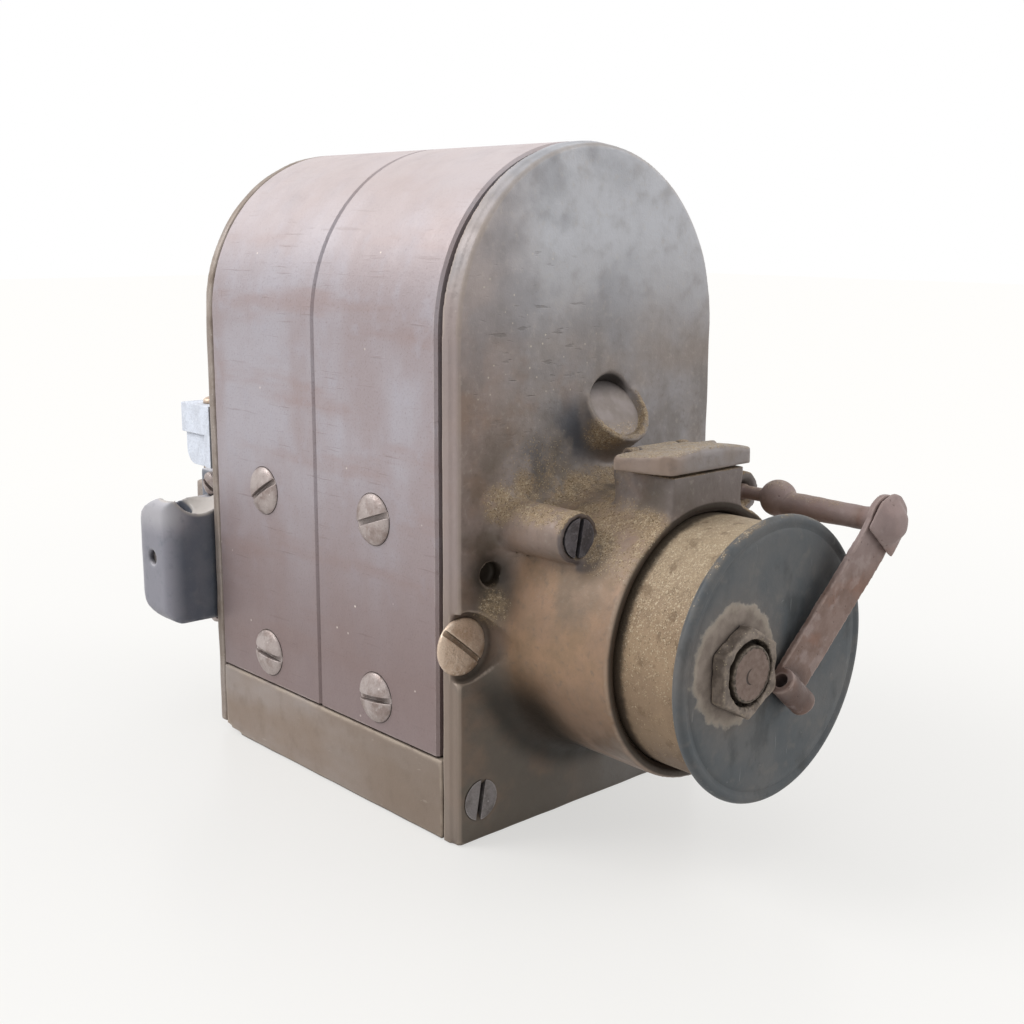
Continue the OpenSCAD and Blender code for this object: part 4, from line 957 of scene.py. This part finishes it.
def cut_shaft():
    """Drive shaft of the CAD without its plain thread cylinder."""
    mesh = welded("drive_shaft")
    solid = bmesh.new()
    solid.from_mesh(mesh)
    everything = solid.verts[:] + solid.edges[:] + solid.faces[:]
    at = (0, (THREAD_Y + THREAD_LAP) * MM, 0)
    cut = bmesh.ops.bisect_plane(
        solid, geom=everything, plane_co=at, plane_no=(0, 1, 0), clear_outer=True)
    rim = [e for e in cut["geom_cut"] if isinstance(e, bmesh.types.BMEdge)]
    bmesh.ops.holes_fill(solid, edges=rim)
    solid.to_mesh(mesh)
    solid.free()
    return mesh


# Each softened piece: its name, CAD node, material and shaping
CASTING = dict(voxel=0.5, passes=3, fill=86, where=neck_root, wave=0.1, ease=well_block)
SOFTENED = (
    ("front_casting", "front_housing", front_bronze(), CASTING),
    ("rear_casting", "rear_housing", aged["bronze"], dict(voxel=0.65, passes=3, wave=0.12)),
    ("base_block", "base_casting", base_casting_bronze(), dict(voxel=0.75, passes=2, wave=0.1)),
    ("oil_flap", "oil_lid", dusty_lid(), dict(voxel=0.28, passes=26, wave=0.1, reshape=round_lid)),
    ("spring_arm", "clip_arm", rust, dict(voxel=0.2, passes=4, wave=0.1, wave_size=4)),
    ("clip_rod", "clip_post", rust, dict(voxel=0.22, passes=6, wave=0.1, wave_size=3)),
    ("rod_nut", "clip_nut", rust, dict(voxel=0.25, passes=70, wave=0.12, wave_size=3)),
    ("hex_nut", "terminal_nut", terminal_paint,
     dict(voxel=0.22, passes=14, wave=0.3, wave_size=2.2)),
    ("stud_head", "terminal_stud", terminal_paint,
     dict(voxel=0.22, passes=6, wave=0.08, wave_size=3)),
    ("lead_holder", "pickup_body", pickup_ebonite(), dict(voxel=0.4, passes=5, wave=0.05)),
    ("bearing_cap", "end_cover", aged["bronze"], dict(voxel=0.4, passes=2, wave=0.05)),
)
# Each machined piece: its name, CAD node, material and bevel
MACHINED = (
    ("near_magnet", "front_magnet", magnet_paint, 0.25),
    ("far_magnet", "rear_magnet", magnet_paint, 0.25),
    ("cover_disc", "breaker_cover", cover_ebonite(), 0.15),
    ("advance_ring", "timing_ring", ring_paint, 0.2),
    ("oil_seal", "oil_plug", sunk_disc(), 0.3),
)
SMALL_BEVEL = 0.15
SMALL_NODES = (
    "magnet_screws", "rim_screws", "corner_screws", "rear_screws", "boss_screw", "pole_screws",
    "end_cover_screws", "pickup_screws", "bracket_screw", "lead_bracket", "lead_screw",
)

for name, node, paint, shaping in SOFTENED:
    piece(name, node, soften(node, **shaping), paint)
for name, node, paint, bevel in MACHINED:
    piece(name, node, crisp(node, bevel), paint)
piece("stepped_shaft", "drive_shaft", crisp("drive_shaft", SMALL_BEVEL, cut_shaft()), shaft_paint)
piece("shaft_screw", "drive_shaft", threaded_end(), shaft_paint)
for node in SMALL_NODES:
    paint = own_paint.get(node, slot_paint[slot_of[node]])
    piece(node + "_worn", node, crisp(node, SMALL_BEVEL), paint)
for node, shown in nodes.items():
    shown.data.materials.clear()
    shown.data.materials.append(slot_paint[slot_of[node]])


# Floor, light and camera, in metres

FLOOR_HALF, FLOOR_Z = 3.0, -0.0003
FLOOR_NEAR, FLOOR_FAR = (0.1, 0.6), (0.42, 1.0)
DIM_SIDE = Vector((-0.3, -0.9, -0.3)).normalized()
CAMERA_AT = Vector((-208.35, -248.14, 127.50)) * MM
CAMERA_TURN = (-42.643, 11.9275, 0.3679)
SENSOR, LENS = 36.0, 47.215


def shown_object(name, data):
    """New object in the scene."""
    made = bpy.data.objects.new(name, data)
    scene.collection.objects.link(made)
    return made


def make_floor():
    """White table that takes the object's shadow and fades into the background."""
    mesh = bpy.data.meshes.new("table_top")
    signs = ((-1, -1), (1, -1), (1, 1), (-1, 1))
    corners = [(a * FLOOR_HALF, b * FLOOR_HALF, FLOOR_Z) for a, b in signs]
    mesh.from_pydata(corners, [], [(0, 1, 2, 3)])
    material = bpy.data.materials.new("table_white")
    material.use_nodes = True
    tree = Tree(material.node_tree)
    paint = tree.tree.nodes["Principled BSDF"]
    paint.inputs["Base Color"].default_value = (0.62, 0.61, 0.59, 1)
    paint.inputs["Roughness"].default_value = 0.3
    glow = tree.add("ShaderNodeEmission", (1.0, 0.99, 0.97, 1))
    away = tree.vector("LENGTH", tree.add("ShaderNodeTexCoord").outputs["Object"])
    (low, start), (high, end) = FLOOR_NEAR, FLOOR_FAR
    share = tree.math("MULTIPLY", tree.background_rays(), tree.ramp(away, low, high, start, end))
    tree.blend(share, paint, glow, "Material Output")
    mesh.materials.append(material)
    shown_object("table_top", mesh)


def make_world():
    """White room, darker towards the side that the photograph was taken from."""
    world = bpy.data.worlds.new("white_room")
    world.use_nodes = True
    tree = Tree(world.node_tree)
    room = tree.tree.nodes["Background"]
    direction = tree.add("ShaderNodeTexCoord").outputs["Generated"]
    towards = tree.vector("DOT_PRODUCT", direction, DIM_SIDE)
    tree.feed(room.inputs["Color"], (0.97, 0.985, 1.0, 1))
    tree.feed(room.inputs["Strength"], tree.ramp(towards, -0.2, 0.9, 1.15, 0.4))
    white = tree.add("ShaderNodeBackground", (1, 1, 1, 1))
    tree.blend(tree.background_rays(), room, white, "World Output")
    scene.world = world


def make_lamp(name, place, target, size, power):
    """Round area lamp that looks at a target."""
    lamp = bpy.data.lights.new(name, "AREA")
    lamp.shape, lamp.size, lamp.energy = "DISK", size, power
    holder = shown_object(name, lamp)
    holder.location = place
    aim = Vector(target) - Vector(place)
    holder.rotation_euler = aim.to_track_quat("-Z", "Y").to_euler()


def make_camera():
    """Camera where the photograph was taken, found from the object's own edges."""
    azimuth, elevation, roll = (math.radians(angle) for angle in CAMERA_TURN)
    level = Vector((math.sin(azimuth), -math.cos(azimuth), 0)) * math.cos(elevation)
    back = level + Vector((0, 0, math.sin(elevation)))
    right = Vector((math.cos(azimuth), math.sin(azimuth), 0))
    up = back.cross(right)
    c, s = math.cos(roll), math.sin(roll)
    right, up = right * c + up * s, up * c - right * s
    lens = bpy.data.cameras.new("photo_camera")
    lens.sensor_width, lens.lens = SENSOR, LENS
    lens.clip_start, lens.clip_end = 0.01, 20.0
    holder = shown_object("photo_camera", lens)
    turn = Matrix((right, up, back)).transposed().to_4x4()
    holder.matrix_world = Matrix.Translation(CAMERA_AT) @ turn
    scene.camera = holder


make_floor()
make_world()
make_lamp("window", place=(-0.9, 0.75, 1.1), target=(0, 0, 0.06), size=0.9, power=14.0)
make_lamp("softbox", place=(0.95, -1.0, 0.75), target=(0, -0.04, 0.09), size=1.0, power=6.0)
make_camera()
scene.view_settings.view_transform = "Standard"
